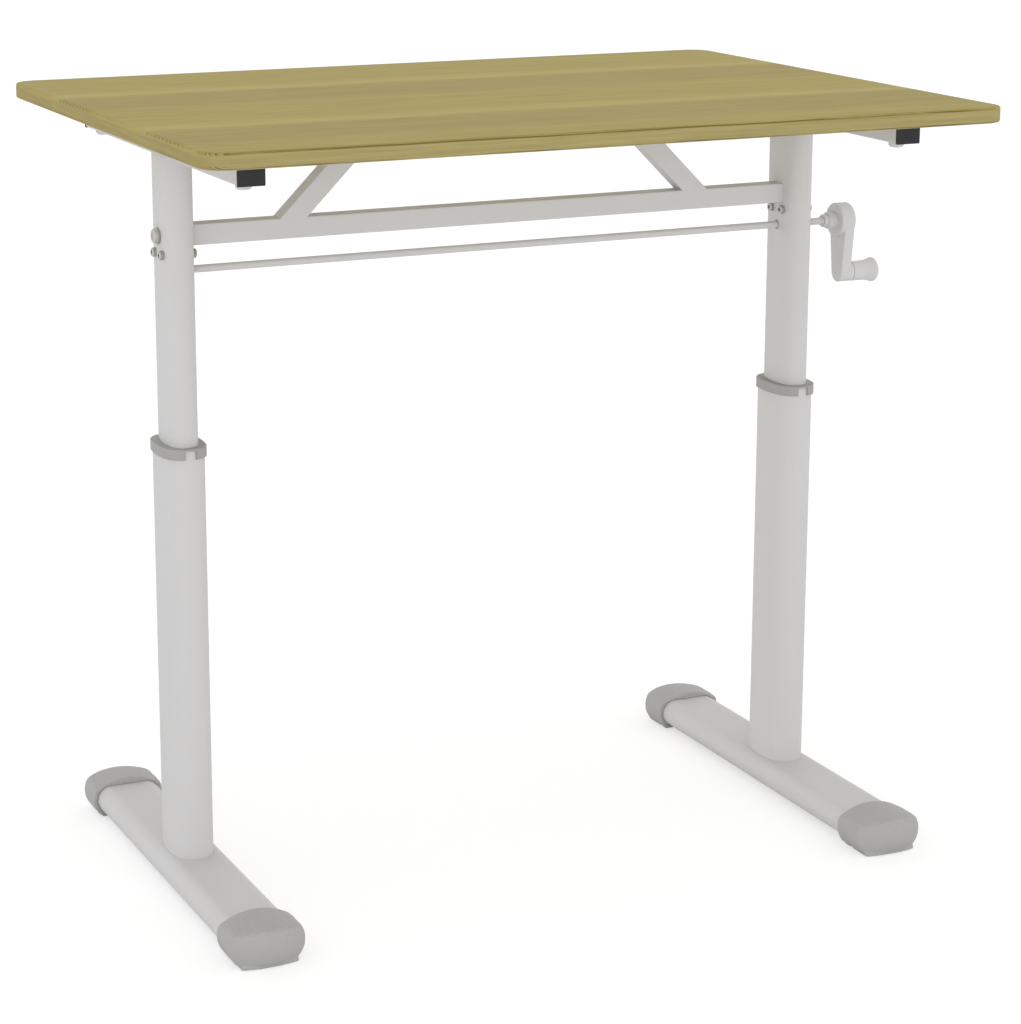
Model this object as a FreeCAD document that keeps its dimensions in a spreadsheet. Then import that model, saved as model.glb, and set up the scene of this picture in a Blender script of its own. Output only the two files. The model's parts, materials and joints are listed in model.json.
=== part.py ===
"""Crank-driven height-adjustable desk as a parametric document, in millimetres.

+Z is up, +X is to the sitter's right and +Y points away from the sitter. The origin is on the floor
under the middle of the tabletop. Each leg is an oval upper column that slides in a lower one. The crank
turns a cross shaft, and a bevel pair in each leg passes the turn to a lead screw that climbs in a nut on
a post in the foot.
"""
import FreeCAD
import Part
import Sketcher

import math
import os

SIZES = {
    # tabletop
    "desk_height": 759,
    "board_length": 800,
    "board_depth": 600,
    "board_thickness": 15,
    "board_corner": 24,
    "board_edge": 2.2,
    # side rails under the tabletop, with their plugs and screws
    "rail_size": 25,
    "rail_wall": 1.5,
    "rail_setback": 73.5,
    "rail_rear_setback": 82.5,
    "plug_flange": 2.5,
    "plug_rim": 0.4,
    "plug_depth": 16,
    "rail_screw_inset": 18.5,
    "rail_screw_head_radius": 7.6,
    "rail_screw_head_height": 5.6,
    "rail_screw_radius": 2.5,
    "rail_screw_bite": 10,
    # columns
    "leg_inset": 65.8,
    "leg_setback": 12.2,
    "upper_width": 30,
    "upper_depth": 60,
    "upper_end_radius": 13.5,
    "column_wall": 1.5,
    "column_step": 6,
    "column_insert": 212,
    "lift_up": 120,
    "head_plate_thickness": 3,
    "head_screw_spread": 34,
    "head_screw_radius": 2.5,
    "head_screw_head_radius": 4.8,
    "head_screw_head_height": 3,
    "head_screw_length": 11,
    # guide collars and glides
    "collar_top": 444.7,
    "collar_height": 10.3,
    "collar_lip": 1.9,
    "collar_rim": 2,
    "collar_edge": 0.6,
    "collar_notch": 11,
    "sleeve_length": 45,
    "glide_height": 14,
    "glide_tongue": 12,
    # feet
    "bar_width": 66,
    "bar_height": 29,
    "bar_wall": 2,
    "bar_axis_height": 18.8,
    "bar_length": 444,
    "foot_shift": 2.3,
    "shoe_grip": 31.6,
    "shoe_nose_wall": 20.2,
    "shoe_width": 74.6,
    "shoe_side_radius": 22,
    "shoe_side_height": 20,
    "shoe_top": 40.7,
    "shoe_top_radius": 62,
    "shoe_edge": 4,
    "nose_top": 36.4,
    "nose_top_radius": 130,
    "nose_radius": 56.5,
    "nose_corner": 8,
    "nose_bulge": 0.76,
    "pad_height": 3,
    "pad_width": 56,
    "toe_pad_length": 30,
    "toe_pad_setback": 5.8,
    "toe_pad_radius": 110,
    "heel_pad_length": 9,
    "heel_pad_inset": 2,
    # base plates with their bolts, posts, nuts and lead screws
    "base_plate_thickness": 6,
    "foot_bolt_spread": 48,
    "foot_bolt_radius": 3,
    "foot_bolt_head_radius": 5.5,
    "foot_bolt_head_height": 3.4,
    "post_radius": 10,
    "post_bore_radius": 7.5,
    "nut_radius": 12,
    "nut_length": 25,
    "nut_drop": 39.7,
    "screw_radius": 6,
    "screw_neck_radius": 5,
    "screw_tip_radius": 3,
    "screw_spare": 15,
    # gearboxes and cross shaft
    "shaft_drop": 149,
    "shaft_radius": 3.6,
    "shaft_hole_radius": 4.6,
    "housing_above": 29,
    "housing_below": 21,
    "cavity_above": 12,
    "cavity_below": 12.8,
    "housing_side_wall": 2.3,
    "bush_wall": 1.9,
    "thrust_rise": 0.8,
    "gear_pitch_radius": 8,
    "gear_teeth": 14,
    "gear_face": 3,
    "gear_addendum": 0.7,
    "gear_dedendum": 0.9,
    "gear_tooth_root": 1.9,
    "gear_tooth_tip": 0.9,
    "gear_hub_radius": 5.5,
    "gear_hub_length": 2.7,
    "gearbox_screw_drop": 132,
    "gearbox_screw_spread": 20.8,
    "gearbox_screw_radius": 2.5,
    "gearbox_screw_bite": 7,
    "gearbox_screw_head_radius": 4.6,
    "gearbox_screw_head_height": 3.5,
    "gearbox_screw_head_edge": 0.9,
    "gearbox_screw_socket": 1.8,
    # cross beam and braces
    "beam_drop": 115,
    "beam_size": 20,
    "beam_wall": 1.5,
    "insert_length": 22,
    "bolt_radius": 4,
    "bolt_bite": 18,
    "bolt_head_radius": 7.5,
    "bolt_head_height": 5.5,
    "bolt_head_edge": 1.2,
    "bolt_socket": 3,
    "brace_inset": 117.7,
    "brace_plate_length": 64,
    "brace_plate_width": 40,
    "brace_plate_thickness": 3,
    "brace_screw_spread": 48,
    "brace_screw_radius": 2,
    "brace_screw_head_radius": 4,
    "brace_screw_head_height": 2.5,
    "brace_screw_bite": 9,
    # crank and knob
    "crank_offset": 36.8,
    "crank_neck_radius": 4.2,
    "crank_neck_length": 3,
    "crank_step_radius": 6.7,
    "crank_step_length": 5,
    "crank_boss_radius": 8.6,
    "crank_boss_length": 9.4,
    "crank_hub_radius": 17.7,
    "crank_hub_length": 16.6,
    "crank_hub_edge": 2.2,
    "crank_bore_depth": 27,
    "crank_throw": 55.5,
    "arm_inset": 4.8,
    "arm_thickness": 11.3,
    "arm_root_radius": 16.2,
    "arm_tip_radius": 10.1,
    "arm_boss_length": 5,
    "grub_radius": 2,
    "knob_length": 29.2,
    "knob_radius": 10.3,
    "knob_flare_radius": 12.8,
    "knob_flare_length": 13,
    "knob_end_radius": 3.4,
    "pin_radius": 4,
    "pin_bury": 10,
    "pin_length": 34,
    # clearances
    "fit_clearance": 0.1,
    "slide_clearance": 0.3,
    "running_clearance": 0.05,
    "hole_clearance": 0.1,
}

doc = FreeCAD.newDocument("Desk")
sheet = doc.addObject("Spreadsheet::Sheet", "Sizes")
for row, (alias, number) in enumerate(SIZES.items(), start=1):
    sheet.set(f"A{row}", alias.replace("_", " "))
    sheet.set(f"B{row}", str(number))
    sheet.setAlias(f"B{row}", alias)
doc.recompute()

SIDES = {"left": -1, "right": 1}
ENDS = {"front": -1, "rear": 1}
TURNS = {
    "x": FreeCAD.Rotation(FreeCAD.Vector(0, 1, 0), 90),
    "-x": FreeCAD.Rotation(FreeCAD.Vector(0, 1, 0), -90),
    "y": FreeCAD.Rotation(FreeCAD.Vector(1, 0, 0), -90),
    "z": FreeCAD.Rotation(),
    "about": FreeCAD.Rotation(FreeCAD.Vector(0, 0, 1), 180),
}

# Places that several pieces share, as expressions on the sheet
BOARD_UNDER = "Sizes.desk_height - Sizes.board_thickness"
RAIL_UNDER = f"{BOARD_UNDER} - Sizes.rail_size"
COLUMN_TOP = f"{RAIL_UNDER} - Sizes.head_plate_thickness"
COLUMN_BOTTOM = "Sizes.collar_top - Sizes.column_insert"
COLUMN_HALF = "Sizes.upper_width / 2"
LOWER_TOP = "Sizes.collar_top - Sizes.collar_lip"
NUT_BOTTOM = "Sizes.collar_top - Sizes.nut_drop - Sizes.nut_length"
SHAFT_AXIS = "Sizes.desk_height - Sizes.shaft_drop"
BEAM_AXIS = "Sizes.desk_height - Sizes.beam_drop"
BEAM_TOP = f"{BEAM_AXIS} + Sizes.beam_size / 2"
BRACE_TOP = f"{BOARD_UNDER} - Sizes.brace_plate_thickness"
BRACE_REACH = "(Sizes.board_length / 2 - Sizes.leg_inset - Sizes.brace_inset)"
BRACE_TOP_X = f"({BRACE_REACH} - ({BRACE_TOP} - ({BEAM_TOP})))"
RAIL_FRONT = "(Sizes.board_depth / 2 - Sizes.rail_setback)"
RAIL_REAR = "(Sizes.board_depth / 2 - Sizes.rail_rear_setback)"
LEG_HALF = "(Sizes.board_length / 2 - Sizes.leg_inset)"
LEG_Y = "-Sizes.leg_setback"
FOOT_Y = f"{LEG_Y} + Sizes.foot_shift"
BAR_TOP = "Sizes.bar_axis_height + Sizes.bar_height / 2"
SHOE_INNER = "(Sizes.bar_length / 2 - Sizes.shoe_grip)"
SHOE_REACH = "(Sizes.bar_length / 2 + Sizes.shoe_nose_wall)"
GEARBOX_SCREW_Z = "Sizes.desk_height - Sizes.gearbox_screw_drop"
BUSH_RADIUS = "(Sizes.shaft_radius + Sizes.running_clearance + Sizes.bush_wall)"
NECK_BUSH_RADIUS = "(Sizes.screw_neck_radius + Sizes.running_clearance + Sizes.bush_wall)"
HOUSING_HALF = f"({COLUMN_HALF} - Sizes.column_wall - Sizes.fit_clearance)"
HOUSING_FLOOR = f"{SHAFT_AXIS} - Sizes.housing_below"
CAVITY_FLOOR = f"{SHAFT_AXIS} - Sizes.cavity_below"
GEAR_BACK = f"{SHAFT_AXIS} - Sizes.gear_pitch_radius"
CRANK_X = f"{LEG_HALF} + Sizes.crank_offset"
HUB_X = f"{CRANK_X} + Sizes.crank_neck_length + Sizes.crank_step_length + Sizes.crank_boss_length"
ARM_X = f"{HUB_X} + Sizes.arm_inset"
ARM_FACE_X = f"{ARM_X} + Sizes.arm_thickness + Sizes.arm_boss_length"
KNOB_Z = f"{SHAFT_AXIS} - Sizes.crank_throw"

nodes = []


def leg_x(sign):
    """Expression for the X of a leg's axis."""
    return f"{sign} * {LEG_HALF}"


def size(expression):
    """Value of an expression on the sheet."""
    return float(sheet.evalExpression(expression))


def place(thing, x="0", y="0", z="0", turn="z"):
    """Turn an object and bind its place to expressions."""
    thing.Placement = FreeCAD.Placement(FreeCAD.Vector(), TURNS[turn])
    for letter, expression in zip("xyz", (x, y, z)):
        thing.setExpression(f"Placement.Base.{letter}", expression)
    return thing


def node(thing, label):
    """Give a finished sub-part the name that its file takes."""
    thing.Label = label
    nodes.append(thing)
    return thing


def box(name, low, spans):
    """Box from its low corner and its three spans."""
    thing = doc.addObject("Part::Box", name)
    for key, expression in zip(("Length", "Width", "Height"), spans):
        thing.setExpression(key, expression)
    return place(thing, *low)


def rod(name, radius, length, start, turn="z"):
    """Round bar from its start point along one axis."""
    thing = doc.addObject("Part::Cylinder", name)
    thing.setExpression("Radius", radius)
    thing.setExpression("Height", length)
    return place(thing, *start, turn)


def hexagon(name, radius, length, start, turn):
    """Six-sided bar, for a key socket."""
    thing = doc.addObject("Part::Prism", name)
    thing.Polygon = 6
    thing.setExpression("Circumradius", radius)
    thing.setExpression("Height", length)
    return place(thing, *start, turn)


def fuse(name, shapes):
    """One solid out of several that meet or overlap."""
    thing = doc.addObject("Part::MultiFuse", name)
    thing.Shapes = shapes
    thing.Refine = True
    return thing


def cut(name, base, tools):
    """A shape with the tools taken out of it."""
    thing = doc.addObject("Part::Cut", name)
    thing.Base = base
    thing.Tool = tools[0] if len(tools) == 1 else fuse(f"{name}_tools", tools)
    return thing


def ring(name, outer, inner, length, start, turn="z"):
    """Round tube or bush."""
    outside = rod(f"{name}_outside", outer, length, start, turn)
    inside = rod(f"{name}_inside", inner, length, start, turn)
    return cut(name, outside, [inside])


def group(name, shapes):
    """Separate solids that share one node."""
    thing = doc.addObject("Part::Compound", name)
    thing.Links = shapes
    return thing


def sketch_on(body, role, name, offset="0"):
    """Sketch on one of a body's own planes, moved along the plane's normal by an expression."""
    plane = next(feature for feature in body.Origin.OriginFeatures if feature.Role == role)
    sketch = body.newObject("Sketcher::SketchObject", name)
    sketch.AttachmentSupport = [(plane, "")]
    sketch.MapMode = "FlatFace"
    sketch.setExpression("AttachmentOffset.Base.z", offset)
    return sketch


def fix(sketch, geometry, point, x, y):
    """Hold a point of a sketch at a place given by two expressions."""
    for kind, axis, expression in (("DistanceX", -2, x), ("DistanceY", -1, y)):
        at = size(expression)
        if abs(at) < 1e-9:
            sketch.addConstraint(Sketcher.Constraint("PointOnObject", geometry, point, axis))
        elif at > 0:
            row = sketch.addConstraint(Sketcher.Constraint(kind, -1, 1, geometry, point, at))
            sketch.setExpression(f"Constraints[{row}]", expression)
        else:
            row = sketch.addConstraint(Sketcher.Constraint(kind, geometry, point, -1, 1, -at))
            sketch.setExpression(f"Constraints[{row}]", f"-({expression})")


def fix_radius(sketch, geometry, expression):
    """Hold an arc's radius at an expression."""
    row = sketch.addConstraint(Sketcher.Constraint("Radius", geometry, size(expression)))
    sketch.setExpression(f"Constraints[{row}]", expression)


def outline(sketch, corners):
    """Closed straight-sided outline through corners given as pairs of expressions."""
    points = [FreeCAD.Vector(size(x), size(y)) for x, y in corners]
    lines = [Part.LineSegment(a, b) for a, b in zip(points, points[1:] + points[:1])]
    rows = sketch.addGeometry(lines)
    for line, after in zip(rows, rows[1:] + rows[:1]):
        sketch.addConstraint(Sketcher.Constraint("Coincident", line, 2, after, 1))
    for line, (x, y) in zip(rows, corners):
        fix(sketch, line, 1, x, y)


def oval(sketch, half_width, half_length, end_radius):
    """Closed oval of two end arcs and two flatter side arcs, long along the sketch's Y."""
    wide, tall, end = size(half_width), size(half_length), size(end_radius)
    reach = f"({half_length} - ({end_radius}))"
    side_radius = (
        f"(({half_width})^2 + {reach}^2 - ({end_radius})^2) / (2 * ({half_width} - ({end_radius})))"
    )
    side = size(side_radius)
    turn = math.atan2(tall - end, side - wide)
    arcs = []
    for quarter, radius in enumerate((side, end, side, end)):
        middle = quarter * math.pi / 2
        away = wide - side if quarter % 2 == 0 else tall - end
        half = turn if quarter % 2 == 0 else math.pi / 2 - turn
        centre = FreeCAD.Vector(away * math.cos(middle), away * math.sin(middle))
        circle = Part.Circle(centre, FreeCAD.Vector(0, 0, 1), radius)
        arcs.append(Part.ArcOfCircle(circle, middle - half, middle + half))
    rows = sketch.addGeometry(arcs)
    for arc, after in zip(rows, rows[1:] + rows[:1]):
        sketch.addConstraint(Sketcher.Constraint("Tangent", arc, 2, after, 1))
    first_end, second_end = rows[1], rows[3]
    fix(sketch, first_end, 3, "0", reach)
    sketch.addConstraint(Sketcher.Constraint("Symmetric", first_end, 3, second_end, 3, -1, 1))
    fix_radius(sketch, first_end, end_radius)
    sketch.addConstraint(Sketcher.Constraint("Equal", first_end, second_end))
    fix_radius(sketch, rows[0], side_radius)
    sketch.addConstraint(Sketcher.Constraint("Equal", rows[0], rows[2]))


def column_oval(sketch, offset):
    """The upper column's outside, or a line a given distance outside it."""
    oval(
        sketch,
        f"Sizes.upper_width / 2 + {offset}",
        f"Sizes.upper_depth / 2 + {offset}",
        f"Sizes.upper_end_radius + {offset}",
    )


def bar_section(sketch, offset):
    """The foot bar's outside, or a line a given distance outside it: two round ends joined by flats."""
    radius = f"(Sizes.bar_height / 2 + {offset})"
    reach = "(Sizes.bar_width / 2 - Sizes.bar_height / 2)"
    end, away = size(radius), size(reach)
    circles = [Part.Circle(FreeCAD.Vector(x, 0), FreeCAD.Vector(0, 0, 1), end) for x in (away, -away)]
    right = Part.ArcOfCircle(circles[0], -math.pi / 2, math.pi / 2)
    left = Part.ArcOfCircle(circles[1], math.pi / 2, math.pi * 3 / 2)
    rows = sketch.addGeometry(
        [
            right,
            Part.LineSegment(right.EndPoint, left.StartPoint),
            left,
            Part.LineSegment(left.EndPoint, right.StartPoint),
        ]
    )
    for row, after in zip(rows, rows[1:] + rows[:1]):
        sketch.addConstraint(Sketcher.Constraint("Tangent", row, 2, after, 1))
    fix(sketch, rows[0], 3, reach, "0")
    fix(sketch, rows[2], 3, f"-{reach}", "0")
    fix_radius(sketch, rows[0], radius)


def pad(body, sketch, length, both_ways=False):
    """Solid that a sketch sweeps along its normal."""
    feature = body.newObject("PartDesign::Pad", f"{sketch.Name}_pad")
    feature.Profile = sketch
    feature.setExpression("Length", length)
    feature.SideType = "Symmetric" if both_ways else "One side"
    return feature


def oval_ring(body, name, floor, height, outer, inner):
    """Ring between two column ovals, added to a body."""
    sketch = sketch_on(body, "XY_Plane", name, floor)
    column_oval(sketch, outer)
    column_oval(sketch, inner)
    return pad(body, sketch, height)


def revolve(body, sketch):
    """Solid that a sketch sweeps round its own Y axis."""
    feature = body.newObject("PartDesign::Revolution", f"{sketch.Name}_turned")
    feature.Profile = sketch
    feature.ReferenceAxis = (sketch, ["V_Axis"])
    feature.Angle = 360
    return feature


def fillet(body, base, radius, chosen):
    """Round the edges of a body's last feature that a test picks out."""
    doc.recompute()
    names = [f"Edge{i}" for i, edge in enumerate(base.Shape.Edges, start=1) if chosen(edge)]
    feature = body.newObject("PartDesign::Fillet", f"{base.Name}_rounded")
    feature.Base = (base, names)
    feature.setExpression("Radius", radius)
    return feature


def level(edge, height):
    """Does an edge lie at one height?"""
    box_of_edge = edge.BoundBox
    return abs(box_of_edge.ZMin - height) < 1e-6 and abs(box_of_edge.ZMax - height) < 1e-6


def rail_reach(sign):
    """Distance of a rail's front or rear end from the middle of the board."""
    return RAIL_REAR if sign > 0 else RAIL_FRONT


# Positions of the fasteners that go up into the tabletop, as pairs of expressions
rail_screw_spots = [
    (leg_x(side), f"{end} * ({rail_reach(end)} - Sizes.rail_screw_inset)")
    for side in SIDES.values()
    for end in ENDS.values()
]
brace_screw_spots = [
    (f"{side} * {BRACE_TOP_X} + {way} * Sizes.brace_screw_spread / 2", LEG_Y)
    for side in SIDES.values()
    for way in (-1, 1)
]


def make_tabletop():
    """Board with rounded corners and eased edges, with pilot holes for the screws from below."""
    body = doc.addObject("PartDesign::Body", "board")
    sketch = sketch_on(body, "XY_Plane", "board_outline")
    half_x, half_y = "Sizes.board_length / 2", "Sizes.board_depth / 2"
    corners = [(f"{a} * {half_x}", f"{b} * {half_y}") for a, b in ((-1, -1), (1, -1), (1, 1), (-1, 1))]
    outline(sketch, corners)
    slab = pad(body, sketch, "Sizes.board_thickness")
    rounded = fillet(body, slab, "Sizes.board_corner", lambda edge: edge.BoundBox.ZLength > 1e-6)
    thickness = size("Sizes.board_thickness")
    fillet(body, rounded, "Sizes.board_edge", lambda edge: level(edge, 0) or level(edge, thickness))
    place(body, z=BOARD_UNDER)
    pilots = [
        rod(f"rail_pilot_{i}", "Sizes.rail_screw_radius", "Sizes.rail_screw_bite", (x, y, BOARD_UNDER))
        for i, (x, y) in enumerate(rail_screw_spots)
    ]
    pilots += [
        rod(f"brace_pilot_{i}", "Sizes.brace_screw_radius", "Sizes.brace_screw_bite", (x, y, BOARD_UNDER))
        for i, (x, y) in enumerate(brace_screw_spots)
    ]
    node(cut("board_drilled", body, pilots), "tabletop")


def make_rails():
    """Square side rails with an end plug at each end, and the screws that hold them to the board."""
    inner = "(Sizes.rail_size - 2 * Sizes.rail_wall)"
    for name, side in SIDES.items():
        low = f"{leg_x(side)} - Sizes.rail_size / 2"
        tube = box(
            f"{name}_rail_outside",
            (low, f"-{RAIL_FRONT}", RAIL_UNDER),
            ("Sizes.rail_size", f"{RAIL_FRONT} + {RAIL_REAR}", "Sizes.rail_size"),
        )
        hollow = box(
            f"{name}_rail_inside",
            (f"{low} + Sizes.rail_wall", f"-{RAIL_FRONT}", f"{RAIL_UNDER} + Sizes.rail_wall"),
            (inner, f"{RAIL_FRONT} + {RAIL_REAR}", inner),
        )
        holes = [
            rod(
                f"{name}_{end}_rail_hole",
                "Sizes.rail_screw_radius + Sizes.hole_clearance",
                "Sizes.rail_size",
                (leg_x(side), f"{sign} * ({rail_reach(sign)} - Sizes.rail_screw_inset)", RAIL_UNDER),
            )
            for end, sign in ENDS.items()
        ]
        holes += [
            rod(
                f"{name}_{end}_head_hole",
                "Sizes.head_screw_radius",
                "Sizes.rail_wall",
                (leg_x(side), f"{LEG_Y} + {sign} * Sizes.head_screw_spread / 2", RAIL_UNDER),
            )
            for end, sign in ENDS.items()
        ]
        node(cut(f"{name}_rail", tube, [hollow] + holes), f"{name}_side_rail")
        for end, sign in ENDS.items():
            make_plug(f"{name}_{end}", side, sign)
    screws = []
    for i, (x, y) in enumerate(rail_screw_spots):
        head_floor = f"{RAIL_UNDER} - Sizes.rail_screw_head_height"
        head = rod(
            f"rail_head_{i}",
            "Sizes.rail_screw_head_radius",
            "Sizes.rail_screw_head_height",
            (x, y, head_floor),
        )
        shank = rod(
            f"rail_shank_{i}",
            "Sizes.rail_screw_radius",
            "Sizes.rail_size + Sizes.rail_screw_bite",
            (x, y, RAIL_UNDER),
        )
        screws.append(fuse(f"rail_screw_{i}", [head, shank]))
    node(group("rail_screw_set", screws), "rail_screws")


def make_plug(name, side, sign):
    """End plug of a rail: a flange over the tube's end and a stem inside it."""
    stem_size = "(Sizes.rail_size - 2 * Sizes.rail_wall - 2 * Sizes.fit_clearance)"
    flange_size = "(Sizes.rail_size - 2 * Sizes.plug_rim)"
    face = f"{sign} * {rail_reach(sign)}"
    flange_low = face if sign > 0 else f"{face} - Sizes.plug_flange"
    stem_low = f"{face} - Sizes.plug_depth" if sign > 0 else face
    middle_z = f"{RAIL_UNDER} + Sizes.rail_size / 2"
    flange = box(
        f"{name}_flange",
        (f"{leg_x(side)} - {flange_size} / 2", flange_low, f"{middle_z} - {flange_size} / 2"),
        (flange_size, "Sizes.plug_flange", flange_size),
    )
    stem = box(
        f"{name}_stem",
        (f"{leg_x(side)} - {stem_size} / 2", stem_low, f"{middle_z} - {stem_size} / 2"),
        (stem_size, "Sizes.plug_depth", stem_size),
    )
    node(fuse(f"{name}_plug", [flange, stem]), f"{name}_rail_plug")


def make_upper_column(name, side):
    """Sliding column: an oval tube, drilled for the beam bolt, the gearbox screws and the shaft."""
    body = doc.addObject("PartDesign::Body", f"{name}_upper_tube")
    length = f"{COLUMN_TOP} - ({COLUMN_BOTTOM})"
    oval_ring(body, f"{name}_upper_section", "0", length, "0", "-Sizes.column_wall")
    place(body, leg_x(side), LEG_Y, COLUMN_BOTTOM)
    across = "Sizes.upper_width"
    start_x = f"{leg_x(side)} - {COLUMN_HALF}"
    holes = [
        rod(
            f"{name}_bolt_hole",
            "Sizes.bolt_radius + Sizes.hole_clearance",
            across,
            (start_x, LEG_Y, BEAM_AXIS),
            "x",
        )
    ]
    shaft_from = start_x if side > 0 else leg_x(side)
    shaft_across = across if side > 0 else COLUMN_HALF
    holes.append(
        rod(
            f"{name}_shaft_hole",
            "Sizes.shaft_hole_radius",
            shaft_across,
            (shaft_from, LEG_Y, SHAFT_AXIS),
            "x",
        )
    )
    for i, y in enumerate(gearbox_screw_rows()):
        holes.append(
            rod(
                f"{name}_gearbox_hole_{i}",
                "Sizes.gearbox_screw_radius + Sizes.hole_clearance",
                across,
                (start_x, y, GEARBOX_SCREW_Z),
                "x",
            )
        )
    node(cut(f"{name}_upper", body, holes), f"{name}_upper_column")


def gearbox_screw_rows():
    """Y of the gearbox screws, either side of the leg's axis."""
    return [f"{LEG_Y} + {way} * Sizes.gearbox_screw_spread / 2" for way in (-1, 1)]


def make_head_plate(name, side):
    """Oval plate that closes a column's top under its rail, drilled for two screws from inside."""
    plate = doc.addObject("PartDesign::Body", f"{name}_head_blank")
    section = sketch_on(plate, "XY_Plane", f"{name}_head_section")
    column_oval(section, "0")
    pad(plate, section, "Sizes.head_plate_thickness")
    place(plate, leg_x(side), LEG_Y, COLUMN_TOP)
    holes = [
        rod(
            f"{name}_{end}_plate_hole",
            "Sizes.head_screw_radius + Sizes.hole_clearance",
            "Sizes.head_plate_thickness",
            (leg_x(side), f"{LEG_Y} + {sign} * Sizes.head_screw_spread / 2", COLUMN_TOP),
        )
        for end, sign in ENDS.items()
    ]
    node(cut(f"{name}_head", plate, holes), f"{name}_head_plate")


def make_head_screws():
    """Screws up through the head plates into the rails."""
    screws = []
    for name, side in SIDES.items():
        for end, sign in ENDS.items():
            y = f"{LEG_Y} + {sign} * Sizes.head_screw_spread / 2"
            head = rod(
                f"{name}_{end}_head_screw_head",
                "Sizes.head_screw_head_radius",
                "Sizes.head_screw_head_height",
                (leg_x(side), y, f"{COLUMN_TOP} - Sizes.head_screw_head_height"),
            )
            shank = rod(
                f"{name}_{end}_head_screw_shank",
                "Sizes.head_screw_radius",
                "Sizes.head_screw_length",
                (leg_x(side), y, COLUMN_TOP),
            )
            screws.append(fuse(f"{name}_{end}_head_screw", [head, shank]))
    node(group("head_screw_set", screws), "head_plate_screws")


def make_collar(name, side):
    """Guide collar: a lip over the lower column's end, a skirt with a notch in front, and a sleeve inside."""
    body = doc.addObject("PartDesign::Body", f"{name}_collar_body")
    skirt = "(Sizes.collar_height - Sizes.collar_lip)"
    rim = "(Sizes.column_step + Sizes.collar_rim)"
    slide = "Sizes.slide_clearance"
    seat = "(Sizes.column_step + Sizes.fit_clearance)"
    sleeve = "(Sizes.column_step - Sizes.column_wall - Sizes.fit_clearance)"
    lip = oval_ring(body, f"{name}_collar_lip", "0", "Sizes.collar_lip", rim, slide)
    top = size("Sizes.collar_lip")
    outside = size(f"Sizes.upper_depth / 2 + {rim}")
    fillet(
        body,
        lip,
        "Sizes.collar_edge",
        lambda edge: level(edge, top) and edge.BoundBox.YMax > outside - 1e-3,
    )
    oval_ring(body, f"{name}_collar_skirt", f"-{skirt}", skirt, rim, seat)
    oval_ring(body, f"{name}_collar_sleeve", "-Sizes.sleeve_length", "Sizes.sleeve_length", sleeve, slide)
    place(body, leg_x(side), LEG_Y, LOWER_TOP)
    notch = box(
        f"{name}_collar_notch",
        (
            f"{leg_x(side)} - Sizes.collar_notch / 2",
            f"{LEG_Y} - Sizes.upper_depth / 2 - {rim}",
            f"{LOWER_TOP} - {skirt}",
        ),
        ("Sizes.collar_notch", "Sizes.collar_rim + Sizes.column_wall / 2", skirt),
    )
    node(cut(f"{name}_collar", body, [notch]), f"{name}_guide_collar")


def make_glide(name, side):
    """Plastic end of the upper column, which slides in the lower one and clears the post."""
    body = doc.addObject("PartDesign::Body", f"{name}_glide_body")
    foot = sketch_on(body, "XY_Plane", f"{name}_glide_foot", "-Sizes.glide_height")
    column_oval(foot, "(Sizes.column_step - Sizes.column_wall - Sizes.slide_clearance)")
    pad(body, foot, "Sizes.glide_height")
    tongue = sketch_on(body, "XY_Plane", f"{name}_glide_tongue")
    column_oval(tongue, "(-Sizes.column_wall - Sizes.fit_clearance)")
    pad(body, tongue, "Sizes.glide_tongue")
    place(body, leg_x(side), LEG_Y, COLUMN_BOTTOM)
    bore = rod(
        f"{name}_glide_bore",
        "Sizes.post_radius + Sizes.slide_clearance",
        "Sizes.glide_height + Sizes.glide_tongue",
        (leg_x(side), LEG_Y, f"{COLUMN_BOTTOM} - Sizes.glide_height"),
    )
    node(cut(f"{name}_glide", body, [bore]), f"{name}_column_glide")


def bar_solid(name, side, offset, length):
    """Solid oval bar along the foot, with its outside moved out by an offset."""
    body = doc.addObject("PartDesign::Body", name)
    sketch = sketch_on(body, "XZ_Plane", f"{name}_section")
    bar_section(sketch, offset)
    pad(body, sketch, length, both_ways=True)
    return place(body, leg_x(side), FOOT_Y, "Sizes.bar_axis_height")


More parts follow.
